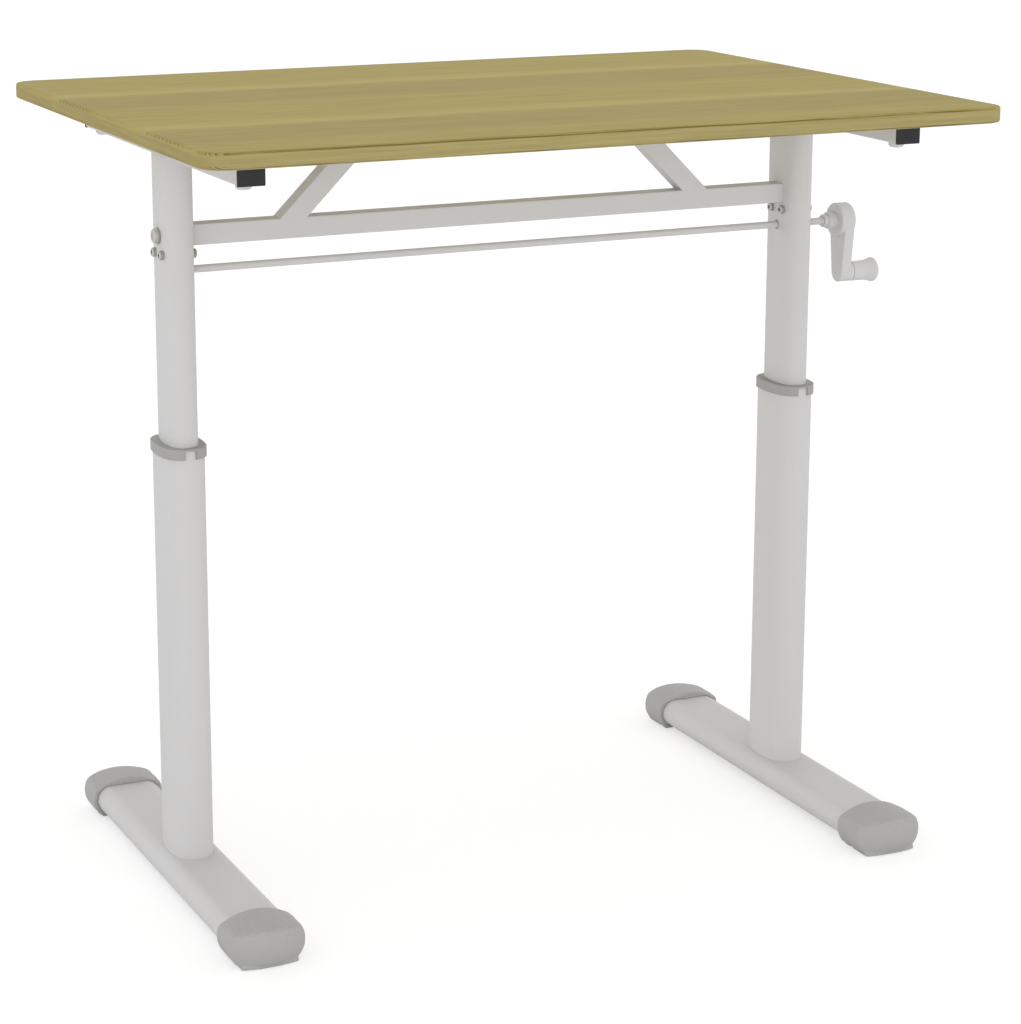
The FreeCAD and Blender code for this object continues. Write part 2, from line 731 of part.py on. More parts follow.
def make_foot(name, side):
    """Foot bar with the lower column and its base plate standing on it, and the nut's post on the plate."""
    bar = bar_solid(f"{name}_bar_outside", side, "0", "Sizes.bar_length")
    bore = bar_solid(f"{name}_bar_inside", side, "-Sizes.bar_wall", "Sizes.bar_length")
    bar_floor = "Sizes.bar_axis_height - Sizes.bar_height / 2"
    spots = [(leg_x(side), f"{LEG_Y} + {way} * Sizes.foot_bolt_spread / 2") for way in (-1, 1)]
    holes = [
        rod(
            f"{name}_bar_hole_{i}",
            "Sizes.foot_bolt_radius + Sizes.hole_clearance",
            "Sizes.bar_height",
            (x, y, bar_floor),
        )
        for i, (x, y) in enumerate(spots)
    ]
    node(cut(f"{name}_bar", bar, [bore] + holes), f"{name}_foot_bar")

    tube = doc.addObject("PartDesign::Body", f"{name}_lower_tube")
    oval_ring(
        tube,
        f"{name}_lower_section",
        "0",
        f"{LOWER_TOP} - Sizes.bar_axis_height",
        "Sizes.column_step",
        "(Sizes.column_step - Sizes.column_wall)",
    )
    place(tube, leg_x(side), LEG_Y, "Sizes.bar_axis_height")
    node(cut(f"{name}_lower", tube, [bar]), f"{name}_lower_column")

    plate = doc.addObject("PartDesign::Body", f"{name}_base_blank")
    sketch = sketch_on(plate, "XY_Plane", f"{name}_base_section")
    column_oval(sketch, "(Sizes.column_step - Sizes.column_wall - Sizes.fit_clearance)")
    pad(plate, sketch, "Sizes.base_plate_thickness")
    place(plate, leg_x(side), LEG_Y, BAR_TOP)
    threads = [
        rod(
            f"{name}_base_thread_{i}",
            "Sizes.foot_bolt_radius",
            "Sizes.base_plate_thickness",
            (x, y, BAR_TOP),
        )
        for i, (x, y) in enumerate(spots)
    ]
    node(cut(f"{name}_base", plate, threads), f"{name}_base_plate")

    bolts = []
    for i, (x, y) in enumerate(spots):
        head = rod(
            f"{name}_foot_bolt_head_{i}",
            "Sizes.foot_bolt_head_radius",
            "Sizes.foot_bolt_head_height",
            (x, y, f"{bar_floor} - Sizes.foot_bolt_head_height"),
        )
        shank = rod(
            f"{name}_foot_bolt_shank_{i}",
            "Sizes.foot_bolt_radius",
            "Sizes.bar_height + Sizes.base_plate_thickness",
            (x, y, bar_floor),
        )
        bolts.append(fuse(f"{name}_foot_bolt_{i}", [head, shank]))
    node(group(f"{name}_foot_bolt_set", bolts), f"{name}_foot_bolts")

    post_floor = f"{BAR_TOP} + Sizes.base_plate_thickness"
    node(
        ring(
            f"{name}_post",
            "Sizes.post_radius",
            "Sizes.post_bore_radius",
            f"{NUT_BOTTOM} - ({post_floor})",
            (leg_x(side), LEG_Y, post_floor),
        ),
        f"{name}_nut_post",
    )
    node(
        ring(
            f"{name}_nut",
            "Sizes.nut_radius",
            "Sizes.screw_radius + Sizes.running_clearance",
            "Sizes.nut_length",
            (leg_x(side), LEG_Y, NUT_BOTTOM),
        ),
        f"{name}_screw_nut",
    )


def shoe_plan(sketch, height):
    """A shoe's outline at one height, with its nose to +Y: less wide and less long away from the bulge."""
    rise = f"({height} - Sizes.shoe_side_height)"
    inset = f"({rise}^2 / (2 * Sizes.shoe_side_radius))"
    half = f"(Sizes.shoe_width / 2 - {inset})"
    nose_centre = f"({SHOE_REACH} - Sizes.nose_radius - Sizes.nose_bulge * {inset})"
    wide, inner, middle = size(half), size(SHOE_INNER), size(nose_centre)
    nose, corner = size("Sizes.nose_radius"), size("Sizes.nose_corner")
    corner_y = middle + math.sqrt((nose - corner) ** 2 - (wide - corner) ** 2)
    bend = math.atan2(corner_y - middle, wide - corner)
    up = FreeCAD.Vector(0, 0, 1)
    right = Part.Circle(FreeCAD.Vector(wide - corner, corner_y), up, corner)
    front = Part.Circle(FreeCAD.Vector(0, middle), up, nose)
    left = Part.Circle(FreeCAD.Vector(corner - wide, corner_y), up, corner)
    rows = sketch.addGeometry(
        [
            Part.LineSegment(FreeCAD.Vector(wide, inner), FreeCAD.Vector(wide, corner_y)),
            Part.ArcOfCircle(right, 0, bend),
            Part.ArcOfCircle(front, bend, math.pi - bend),
            Part.ArcOfCircle(left, math.pi - bend, math.pi),
            Part.LineSegment(FreeCAD.Vector(-wide, corner_y), FreeCAD.Vector(-wide, inner)),
            Part.LineSegment(FreeCAD.Vector(-wide, inner), FreeCAD.Vector(wide, inner)),
        ]
    )
    joins = ["Tangent"] * 4 + ["Coincident"] * 2
    for join, row, after in zip(joins, rows, rows[1:] + rows[:1]):
        sketch.addConstraint(Sketcher.Constraint(join, row, 2, after, 1))
    fix(sketch, rows[0], 1, half, SHOE_INNER)
    fix(sketch, rows[4], 2, f"-{half}", SHOE_INNER)
    sketch.addConstraint(Sketcher.Constraint("Vertical", rows[0]))
    sketch.addConstraint(Sketcher.Constraint("Vertical", rows[4]))
    fix_radius(sketch, rows[1], "Sizes.nose_corner")
    sketch.addConstraint(Sketcher.Constraint("Equal", rows[1], rows[3]))
    fix_radius(sketch, rows[2], "Sizes.nose_radius")
    fix(sketch, rows[2], 3, "0", nose_centre)


def loft(body, name, sections):
    """Solid through several sketches of one body."""
    feature = body.newObject("PartDesign::AdditiveLoft", name)
    feature.Profile = sections[0]
    feature.Sections = sections[1:]
    return feature


def make_shoe(name, side, sign):
    """Plastic shoe on one end of a foot bar: bulged all round, arched on top, with a socket for the bar."""
    turn = "z" if sign > 0 else "about"
    block = doc.addObject("PartDesign::Body", f"{name}_shoe_block")
    plans = []
    heights = (
        "Sizes.pad_height",
        "(Sizes.pad_height + Sizes.shoe_side_height) / 2",
        "Sizes.shoe_side_height",
        "(Sizes.shoe_side_height + Sizes.shoe_top) / 2",
        "Sizes.shoe_top",
    )
    for i, height in enumerate(heights):
        plans.append(sketch_on(block, "XY_Plane", f"{name}_shoe_plan_{i}", height))
        shoe_plan(plans[-1], height)
    loft(block, f"{name}_shoe_sides", plans)
    place(block, leg_x(side), FOOT_Y, "0", turn)

    arch = doc.addObject("PartDesign::Body", f"{name}_shoe_arch")
    crowns = []
    for kind, away in (("shoe", SHOE_INNER), ("nose", SHOE_REACH)):
        crown = sketch_on(arch, "XZ_Plane", f"{name}_{kind}_crown", f"-{away}")
        centre = f"(Sizes.{kind}_top - Sizes.{kind}_top_radius)"
        radius = f"Sizes.{kind}_top_radius"
        row = crown.addGeometry(
            Part.Circle(FreeCAD.Vector(0, size(centre)), FreeCAD.Vector(0, 0, 1), size(radius))
        )
        fix(crown, row, 3, "0", centre)
        fix_radius(crown, row, radius)
        crowns.append(crown)
    loft(arch, f"{name}_shoe_top", crowns)
    place(arch, leg_x(side), FOOT_Y, "0", turn)

    blank = doc.addObject("Part::Common", f"{name}_shoe_shape")
    blank.Base = block
    blank.Tool = arch
    doc.recompute()
    crown_face = max(blank.Shape.Faces, key=lambda face: face.CenterOfMass.z)
    rim = [edge for edge in crown_face.Edges if edge.BoundBox.YLength > 0.1]
    rounded = doc.addObject("Part::Fillet", f"{name}_shoe_rounded")
    rounded.Base = blank
    radius = size("Sizes.shoe_edge")
    rounded.Edges = [
        (i, radius, radius)
        for i, edge in enumerate(blank.Shape.Edges, start=1)
        if any(edge.isSame(other) for other in rim)
    ]
    socket = bar_solid(f"{name}_shoe_socket", side, "Sizes.fit_clearance", "Sizes.bar_length")
    node(cut(f"{name}_shoe", rounded, [socket]), f"{name}_shoe")


def foot_pads(name, side, sign):
    """Toe and heel pads under one shoe, which stand on the floor."""
    low_x = f"{leg_x(side)} - Sizes.pad_width / 2"
    toe_front = f"({SHOE_REACH} - Sizes.toe_pad_setback)"
    toe_back = f"({toe_front} - Sizes.toe_pad_length)"
    heel_back = f"({SHOE_INNER} + Sizes.heel_pad_inset)"
    heel_front = f"({heel_back} + Sizes.heel_pad_length)"
    toe_low = f"{FOOT_Y} - {toe_front}" if sign < 0 else f"{FOOT_Y} + {toe_back}"
    heel_low = f"{FOOT_Y} - {heel_front}" if sign < 0 else f"{FOOT_Y} + {heel_back}"
    block = box(
        f"{name}_toe_block",
        (low_x, toe_low, "0"),
        ("Sizes.pad_width", "Sizes.toe_pad_length", "Sizes.pad_height"),
    )
    curve = rod(
        f"{name}_toe_curve",
        "Sizes.toe_pad_radius",
        "Sizes.pad_height",
        (leg_x(side), f"{FOOT_Y} + {sign} * ({toe_front} - Sizes.toe_pad_radius)", "0"),
    )
    toe = doc.addObject("Part::Common", f"{name}_toe_pad")
    toe.Base = block
    toe.Tool = curve
    heel = box(
        f"{name}_heel_pad",
        (low_x, heel_low, "0"),
        ("Sizes.pad_width", "Sizes.heel_pad_length", "Sizes.pad_height"),
    )
    return [toe, heel]


def make_beam():
    """Square cross beam between the columns, with a threaded insert in each end."""
    half = f"({LEG_HALF} - {COLUMN_HALF})"
    inner = "(Sizes.beam_size - 2 * Sizes.beam_wall)"
    outside = box(
        "beam_outside",
        (f"-{half}", f"{LEG_Y} - Sizes.beam_size / 2", f"{BEAM_AXIS} - Sizes.beam_size / 2"),
        (f"2 * {half}", "Sizes.beam_size", "Sizes.beam_size"),
    )
    inside = box(
        "beam_inside",
        (f"-{half}", f"{LEG_Y} - {inner} / 2", f"{BEAM_AXIS} - {inner} / 2"),
        (f"2 * {half}", inner, inner),
    )
    node(cut("beam", outside, [inside]), "cross_beam")
    plug = f"({inner} - 2 * Sizes.fit_clearance)"
    inserts, bolts = [], []
    for name, side in SIDES.items():
        low = f"-{half}" if side < 0 else f"{half} - Sizes.insert_length"
        blank = box(
            f"{name}_insert_blank",
            (low, f"{LEG_Y} - {plug} / 2", f"{BEAM_AXIS} - {plug} / 2"),
            ("Sizes.insert_length", plug, plug),
        )
        thread = rod(
            f"{name}_insert_bore", "Sizes.bolt_radius", "Sizes.insert_length", (low, LEG_Y, BEAM_AXIS), "x"
        )
        inserts.append(cut(f"{name}_insert", blank, [thread]))
        bolts.append(
            socket_screw(
                f"{name}_bolt",
                (f"{leg_x(side)} + {side} * {COLUMN_HALF}", LEG_Y, BEAM_AXIS),
                side,
                "bolt",
                "Sizes.upper_width + Sizes.bolt_bite",
            )
        )
    node(group("insert_set", inserts), "beam_inserts")
    node(group("bolt_set", bolts), "beam_bolts")


def socket_screw(name, seat, outward, kind, length):
    """Round-headed key screw along X, with its head on the outward side of its seat."""
    x, y, z = seat
    out, back = ("x", "-x") if outward > 0 else ("-x", "x")
    head_height = f"Sizes.{kind}_head_height"
    radius, edge = f"Sizes.{kind}_head_radius", f"Sizes.{kind}_head_edge"
    drum = rod(f"{name}_head", radius, f"{head_height} - {edge}", seat, out)
    rim = doc.addObject("Part::Cone", f"{name}_rim")
    rim.setExpression("Radius1", radius)
    rim.setExpression("Radius2", f"{radius} - {edge}")
    rim.setExpression("Height", edge)
    place(rim, f"{x} + {outward} * ({head_height} - {edge})", y, z, out)
    shank = rod(f"{name}_shank", f"Sizes.{kind}_radius", length, seat, back)
    solid = fuse(f"{name}_solid", [drum, rim, shank])
    key_depth = f"{head_height} / 2"
    mouth = (f"{x} + {outward} * {key_depth}", y, z)
    key = hexagon(f"{name}_key", f"Sizes.{kind}_socket", key_depth, mouth, out)
    return cut(f"{name}_screw", solid, [key])


def brace_side(sketch, side, span, overrun):
    """Slanted side view of a brace, or of its bore, which runs on past both ends."""
    half = f"({span} * sqrt(2) / 2)"
    low_x, high_x = f"{side} * ({BRACE_REACH} + {overrun})", f"{side} * ({BRACE_TOP_X} - {overrun})"
    low_z, high_z = f"{BEAM_TOP} - {overrun}", f"{BRACE_TOP} + {overrun}"
    outline(
        sketch,
        [
            (f"{low_x} - {half}", low_z),
            (f"{low_x} + {half}", low_z),
            (f"{high_x} + {half}", high_z),
            (f"{high_x} - {half}", high_z),
        ],
    )


def make_brace(name, side):
    """Square tube leaning in from the beam to a plate under the board."""
    body = doc.addObject("PartDesign::Body", f"{name}_brace_tube")
    solid = sketch_on(body, "XZ_Plane", f"{name}_brace_outside")
    brace_side(solid, side, "Sizes.beam_size", "0")
    pad(body, solid, "Sizes.beam_size", both_ways=True)
    inner = "(Sizes.beam_size - 2 * Sizes.beam_wall)"
    bore = sketch_on(body, "XZ_Plane", f"{name}_brace_inside")
    brace_side(bore, side, inner, "Sizes.beam_size")
    hollow = body.newObject("PartDesign::Pocket", f"{name}_brace_hollow")
    hollow.Profile = bore
    hollow.setExpression("Length", inner)
    hollow.SideType = "Symmetric"
    place(body, y=LEG_Y)
    node(body, f"{name}_brace")

    plate = box(
        f"{name}_brace_plate_blank",
        (
            f"{side} * {BRACE_TOP_X} - Sizes.brace_plate_length / 2",
            f"{LEG_Y} - Sizes.brace_plate_width / 2",
            BRACE_TOP,
        ),
        ("Sizes.brace_plate_length", "Sizes.brace_plate_width", "Sizes.brace_plate_thickness"),
    )
    holes = [
        rod(
            f"{name}_brace_hole_{way}",
            "Sizes.brace_screw_radius + Sizes.hole_clearance",
            "Sizes.brace_plate_thickness",
            (f"{side} * {BRACE_TOP_X} + {sign} * Sizes.brace_screw_spread / 2", LEG_Y, BRACE_TOP),
        )
        for way, sign in (("in", -1), ("out", 1))
    ]
    node(cut(f"{name}_brace_plate_drilled", plate, holes), f"{name}_brace_plate")


def make_brace_screws():
    """Screws up through the brace plates into the board."""
    screws = []
    for i, (x, y) in enumerate(brace_screw_spots):
        head = rod(
            f"brace_screw_head_{i}",
            "Sizes.brace_screw_head_radius",
            "Sizes.brace_screw_head_height",
            (x, y, f"{BRACE_TOP} - Sizes.brace_screw_head_height"),
        )
        shank = rod(
            f"brace_screw_shank_{i}",
            "Sizes.brace_screw_radius",
            "Sizes.brace_plate_thickness + Sizes.brace_screw_bite",
            (x, y, BRACE_TOP),
        )
        screws.append(fuse(f"brace_screw_{i}", [head, shank]))
    node(group("brace_screw_set", screws), "brace_screws")


def make_housing(name, side):
    """Gearbox frame inside the upper column, open to front and back, bored for the shaft and the screw."""
    body = doc.addObject("PartDesign::Body", f"{name}_housing_block")
    sketch = sketch_on(body, "XY_Plane", f"{name}_housing_section")
    column_oval(sketch, "(-Sizes.column_wall - Sizes.fit_clearance)")
    pad(body, sketch, "Sizes.housing_above + Sizes.housing_below")
    place(body, leg_x(side), LEG_Y, HOUSING_FLOOR)
    room = f"({HOUSING_HALF} - Sizes.housing_side_wall)"
    cavity = box(
        f"{name}_housing_cavity",
        (f"{leg_x(side)} - {room}", f"{LEG_Y} - Sizes.upper_depth / 2", CAVITY_FLOOR),
        (f"2 * {room}", "Sizes.upper_depth", "Sizes.cavity_above + Sizes.cavity_below"),
    )
    shaft_bore = rod(
        f"{name}_housing_shaft_bore",
        BUSH_RADIUS,
        f"2 * {HOUSING_HALF}",
        (f"{leg_x(side)} - {HOUSING_HALF}", LEG_Y, SHAFT_AXIS),
        "x",
    )
    screw_bore = rod(
        f"{name}_housing_screw_bore",
        NECK_BUSH_RADIUS,
        f"{CAVITY_FLOOR} - ({HOUSING_FLOOR})",
        (leg_x(side), LEG_Y, HOUSING_FLOOR),
    )
    threads = [
        rod(
            f"{name}_housing_thread_{way}_{i}",
            "Sizes.gearbox_screw_radius",
            "Sizes.gearbox_screw_bite",
            (f"{leg_x(side)} + {sign} * {HOUSING_HALF}", y, GEARBOX_SCREW_Z),
            "-x" if sign > 0 else "x",
        )
        for way, sign in SIDES.items()
        for i, y in enumerate(gearbox_screw_rows())
    ]
    hollows = [cavity, shaft_bore, screw_bore] + threads
    node(cut(f"{name}_housing", body, hollows), f"{name}_gearbox_housing")


def make_gearbox_screws():
    """Short key screws that hold each gearbox from both sides of its column."""
    length = "Sizes.column_wall + Sizes.fit_clearance + Sizes.gearbox_screw_bite"
    screws = [
        socket_screw(
            f"{name}_{way}_gearbox_{i}",
            (f"{leg_x(side)} + {sign} * {COLUMN_HALF}", y, GEARBOX_SCREW_Z),
            sign,
            "gearbox_screw",
            length,
        )
        for name, side in SIDES.items()
        for way, sign in SIDES.items()
        for i, y in enumerate(gearbox_screw_rows())
    ]
    node(group("gearbox_screw_set", screws), "gearbox_screws")


def make_bushes():
    """Shaft bushes in the housings' side walls, and a thrust bush under each screw gear."""
    shaft_bushes, screw_bushes = [], []
    for name, side in SIDES.items():
        for way, sign in SIDES.items():
            shaft_bushes.append(
                ring(
                    f"{name}_{way}_shaft_bush",
                    BUSH_RADIUS,
                    "Sizes.shaft_radius + Sizes.running_clearance",
                    "Sizes.housing_side_wall - Sizes.slide_clearance",
                    (f"{leg_x(side)} + {sign} * ({HOUSING_HALF} - Sizes.slide_clearance)", LEG_Y, SHAFT_AXIS),
                    "-x" if sign > 0 else "x",
                )
            )
        screw_bushes.append(
            ring(
                f"{name}_thrust_bush",
                NECK_BUSH_RADIUS,
                "Sizes.screw_neck_radius + Sizes.running_clearance",
                f"{CAVITY_FLOOR} - ({HOUSING_FLOOR}) + Sizes.thrust_rise",
                (leg_x(side), LEG_Y, HOUSING_FLOOR),
            )
        )
    node(group("shaft_bush_set", shaft_bushes), "shaft_bushes")
    node(group("screw_bush_set", screw_bushes), "screw_bushes")


def bevel_gear(name, bore, hub_length):
    """Straight bevel gear of a mitre pair, its back in the body's XY plane and a tooth towards its +X."""
    body = doc.addObject("PartDesign::Body", name)
    pitch, face = "Sizes.gear_pitch_radius", "Sizes.gear_face"
    taper = f"(({pitch} - {face}) / {pitch})"
    root = f"({pitch} - Sizes.gear_dedendum)"
    tip = f"({pitch} + Sizes.gear_addendum)"
    blank = sketch_on(body, "XZ_Plane", f"{name}_blank")
    outline(
        blank,
        [
            (bore, f"-({hub_length})"),
            ("Sizes.gear_hub_radius", f"-({hub_length})"),
            ("Sizes.gear_hub_radius", "0"),
            (root, "0"),
            (f"{root} * {taper}", face),
            (bore, face),
        ],
    )
    revolve(body, blank)
    profiles = []
    for end, shrink, floor in (("back", "1", "0"), ("front", taper, face)):
        tooth = sketch_on(body, "XY_Plane", f"{name}_tooth_{end}", floor)
        heel = f"({root} - Sizes.gear_dedendum) * {shrink}"
        wide, narrow = f"Sizes.gear_tooth_root * {shrink}", f"Sizes.gear_tooth_tip * {shrink}"
        outline(
            tooth,
            [
                (heel, f"-{wide} / 2"),
                (f"{tip} * {shrink}", f"-{narrow} / 2"),
                (f"{tip} * {shrink}", f"{narrow} / 2"),
                (heel, f"{wide} / 2"),
            ],
        )
        profiles.append(tooth)
    tooth_solid = loft(body, f"{name}_tooth", profiles)
    tooth_solid.Ruled = True
    pattern = body.newObject("PartDesign::PolarPattern", f"{name}_teeth")
    pattern.Originals = [tooth_solid]
    pattern.Axis = (blank, ["V_Axis"])
    pattern.Angle = 360
    pattern.setExpression("Occurrences", "Sizes.gear_teeth")
    body.Tip = pattern
    return body


def make_screw(name, side):
    """Lead screw hanging from its gearbox, and the bevel gear on its top."""
    neck_floor = f"{HOUSING_FLOOR} - Sizes.slide_clearance"
    hub_floor = f"{CAVITY_FLOOR} + Sizes.thrust_rise + Sizes.slide_clearance"
    tip_top = f"{GEAR_BACK} + Sizes.gear_face"
    bottom = f"{NUT_BOTTOM} - Sizes.lift_up - Sizes.screw_spare"
    spans = (
        ("thread", "Sizes.screw_radius", bottom, neck_floor),
        ("neck", "Sizes.screw_neck_radius", neck_floor, hub_floor),
        ("tip", "Sizes.screw_tip_radius", hub_floor, tip_top),
    )
    pieces = [
        rod(f"{name}_screw_{kind}", radius, f"{high} - ({low})", (leg_x(side), LEG_Y, low))
        for kind, radius, low, high in spans
    ]
    node(fuse(f"{name}_screw", pieces), f"{name}_lead_screw")
    gear = bevel_gear(f"{name}_screw_gear_body", "Sizes.screw_tip_radius", f"{GEAR_BACK} - ({hub_floor})")
    place(gear, leg_x(side), LEG_Y, GEAR_BACK, "about")
    node(gear, f"{name}_screw_gear")


def make_drive():
    """Cross shaft with a bevel pinion in each leg, and the crank on its right end."""
    start = f"{leg_x(-1)} - {HOUSING_HALF}"
    end = f"{CRANK_X} + Sizes.crank_bore_depth"
    shaft = rod("shaft", "Sizes.shaft_radius", f"{end} - ({start})", (start, LEG_Y, SHAFT_AXIS), "x")
    node(shaft, "drive_shaft")
    for name, side in SIDES.items():
        pinion = bevel_gear(f"{name}_pinion_body", "Sizes.shaft_radius", "Sizes.gear_hub_length")
        place(pinion, f"{leg_x(side)} - Sizes.gear_pitch_radius", LEG_Y, SHAFT_AXIS)
        # The teeth face the screw's axis, with a gap where the screw gear has its tooth
        half_pitch = 180 / size("Sizes.gear_teeth")
        pinion.Placement.Rotation = TURNS["x"] * FreeCAD.Rotation(FreeCAD.Vector(0, 0, 1), half_pitch)
        node(pinion, f"{name}_pinion")


def make_crank():
    """Crank arm with a stepped boss and a round hub, its grub screw, the knob's pin and the knob."""
    body = doc.addObject("PartDesign::Body", "crank_body")
    steps = sketch_on(body, "XZ_Plane", "crank_steps")
    neck = "Sizes.crank_neck_length"
    step = f"({neck} + Sizes.crank_step_length)"
    boss = f"({step} + Sizes.crank_boss_length)"
    hub = f"({boss} + Sizes.crank_hub_length)"
    outline(
        steps,
        [
            ("0", "0"),
            ("Sizes.crank_neck_radius", "0"),
            ("Sizes.crank_neck_radius", neck),
            ("Sizes.crank_step_radius", neck),
            ("Sizes.crank_step_radius", step),
            ("Sizes.crank_boss_radius", step),
            ("Sizes.crank_boss_radius", boss),
            ("Sizes.crank_hub_radius", boss),
            ("Sizes.crank_hub_radius", hub),
            ("0", hub),
        ],
    )
    turned = revolve(body, steps)
    hub_top = size(hub)
    hub_low = size(boss)
    fillet(
        body,
        turned,
        "Sizes.crank_hub_edge",
        lambda edge: (level(edge, hub_top) or level(edge, hub_low))
        and edge.BoundBox.XLength > 2 * size("Sizes.crank_boss_radius") + 1,
    )
    place(body, CRANK_X, LEG_Y, SHAFT_AXIS, "x")
    arm = doc.addObject("PartDesign::Body", "crank_arm_body")
    shape = sketch_on(arm, "XY_Plane", "crank_arm_outline")
    arm_outline(shape)
    pad(arm, shape, "Sizes.arm_thickness")
    place(arm, ARM_X, LEG_Y, SHAFT_AXIS, "x")
    tip_boss = rod(
        "crank_tip_boss",
        "Sizes.arm_tip_radius",
        "Sizes.arm_thickness + Sizes.arm_boss_length",
        (ARM_X, LEG_Y, KNOB_Z),
        "x",
    )
    whole = fuse("crank_whole", [body, arm, tip_boss])
    shaft_end = (CRANK_X, LEG_Y, SHAFT_AXIS)
    bore = rod("crank_bore", "Sizes.shaft_radius", "Sizes.crank_bore_depth", shaft_end, "x")
    pin_at = f"{ARM_FACE_X} - Sizes.pin_bury"
    pin_hole = rod("crank_pin_hole", "Sizes.pin_radius", "Sizes.pin_bury", (pin_at, LEG_Y, KNOB_Z), "x")
    grub_x = f"{HUB_X} - Sizes.crank_boss_length / 2"
    grub_from = (grub_x, f"{LEG_Y} + Sizes.shaft_radius", SHAFT_AXIS)
    grub_depth = "Sizes.crank_boss_radius - Sizes.shaft_radius + Sizes.grub_radius"
    grub_length = "Sizes.crank_boss_radius - Sizes.shaft_radius - Sizes.slide_clearance"
    grub_hole = rod("crank_grub_hole", "Sizes.grub_radius", grub_depth, grub_from, "y")
    node(cut("crank", whole, [bore, pin_hole, grub_hole]), "crank_arm")
    node(rod("grub", "Sizes.grub_radius", grub_length, grub_from, "y"), "crank_grub_screw")
    node(rod("pin", "Sizes.pin_radius", "Sizes.pin_length", (pin_at, LEG_Y, KNOB_Z), "x"), "crank_pin")
    make_knob()


def arm_outline(sketch):
    """Crank arm seen along the shaft: two round ends joined by the lines that touch both."""
    root, tip = size("Sizes.arm_root_radius"), size("Sizes.arm_tip_radius")
    throw = size("Sizes.crank_throw")
    lean = math.asin((root - tip) / throw)
    half = math.pi / 2 + lean
    hub_circle = Part.Circle(FreeCAD.Vector(), FreeCAD.Vector(0, 0, 1), root)
    tip_circle = Part.Circle(FreeCAD.Vector(throw, 0), FreeCAD.Vector(0, 0, 1), tip)
    hub_arc = Part.ArcOfCircle(hub_circle, math.pi - half, math.pi + half)
    tip_arc = Part.ArcOfCircle(tip_circle, half - math.pi, math.pi - half)
    rows = sketch.addGeometry(
        [
            hub_arc,
            Part.LineSegment(hub_arc.EndPoint, tip_arc.StartPoint),
            tip_arc,
            Part.LineSegment(tip_arc.EndPoint, hub_arc.StartPoint),
        ]
    )
    for row, after in zip(rows, rows[1:] + rows[:1]):
        sketch.addConstraint(Sketcher.Constraint("Tangent", row, 2, after, 1))
    sketch.addConstraint(Sketcher.Constraint("Coincident", rows[0], 3, -1, 1))
    fix_radius(sketch, rows[0], "Sizes.arm_root_radius")
    fix(sketch, rows[2], 3, "Sizes.crank_throw", "0")
    fix_radius(sketch, rows[2], "Sizes.arm_tip_radius")


def make_knob():
    """Spool-shaped knob, turned, with a blind bore that runs on the pin."""
    body = doc.addObject("PartDesign::Body", "knob_body")
    sketch = sketch_on(body, "XZ_Plane", "knob_profile")
    radius, flare = size("Sizes.knob_radius"), size("Sizes.knob_flare_radius")
    length, end = size("Sizes.knob_length"), size("Sizes.knob_end_radius")
    # The waist sweeps out along an arc tangent to the straight part, then turns over into the end face
    swell = size("Sizes.knob_flare_length")
    sweep_to = FreeCAD.Vector(flare, length - end)
    waist = FreeCAD.Vector(radius, length - end - swell)
    sweep = (swell**2 + (flare - radius) ** 2) / (2 * (flare - radius))
    bow = math.asin(swell / sweep) / 2
    middle = FreeCAD.Vector(radius + sweep * (1 - math.cos(bow)), waist.y + sweep * math.sin(bow))
    brow = end * math.sqrt(0.5)
    over = FreeCAD.Vector(flare - end + brow, length - end + brow)
    rows = sketch.addGeometry(
        [
            Part.LineSegment(FreeCAD.Vector(0, 0), FreeCAD.Vector(radius, 0)),
            Part.LineSegment(FreeCAD.Vector(radius, 0), waist),
            Part.Arc(waist, middle, sweep_to),
            Part.Arc(sweep_to, over, FreeCAD.Vector(flare - end, length)),
            Part.LineSegment(FreeCAD.Vector(flare - end, length), FreeCAD.Vector(0, length)),
            Part.LineSegment(FreeCAD.Vector(0, length), FreeCAD.Vector(0, 0)),
        ]
    )
    # The hollow arc counts its ends the other way round from the rest
    first, last = [1, 1, 2, 1, 1, 1], [2, 2, 1, 2, 2, 2]
    for i, row in enumerate(rows):
        after = (i + 1) % len(rows)
        sketch.addConstraint(Sketcher.Constraint("Coincident", row, last[i], rows[after], first[after]))
    flare_at = "Sizes.knob_length - Sizes.knob_end_radius"
    sketch.addConstraint(Sketcher.Constraint("Coincident", rows[0], 1, -1, 1))
    fix(sketch, rows[0], 2, "Sizes.knob_radius", "0")
    fix(sketch, rows[1], 2, "Sizes.knob_radius", f"{flare_at} - Sizes.knob_flare_length")
    fix(sketch, rows[2], first[2] - 1, "Sizes.knob_flare_radius", flare_at)
    gain = "(Sizes.knob_flare_radius - Sizes.knob_radius)"
    fix_radius(sketch, rows[2], f"(Sizes.knob_flare_length^2 + {gain}^2) / (2 * {gain})")
    fix(sketch, rows[3], 2, "Sizes.knob_flare_radius - Sizes.knob_end_radius", "Sizes.knob_length")
    fix_radius(sketch, rows[3], "Sizes.knob_end_radius")
    sketch.addConstraint(Sketcher.Constraint("PointOnObject", rows[4], 2, -2))
    sketch.addConstraint(Sketcher.Constraint("Horizontal", rows[4]))
    revolve(body, sketch)
    knob_x = f"{ARM_FACE_X} + Sizes.slide_clearance"
    place(body, knob_x, LEG_Y, KNOB_Z, "x")
    bore = rod(
        "knob_bore",
        "Sizes.pin_radius + Sizes.running_clearance",
        "Sizes.pin_length - Sizes.pin_bury",
        (knob_x, LEG_Y, KNOB_Z),
        "x",
    )
    node(cut("knob", body, [bore]), "crank_knob")


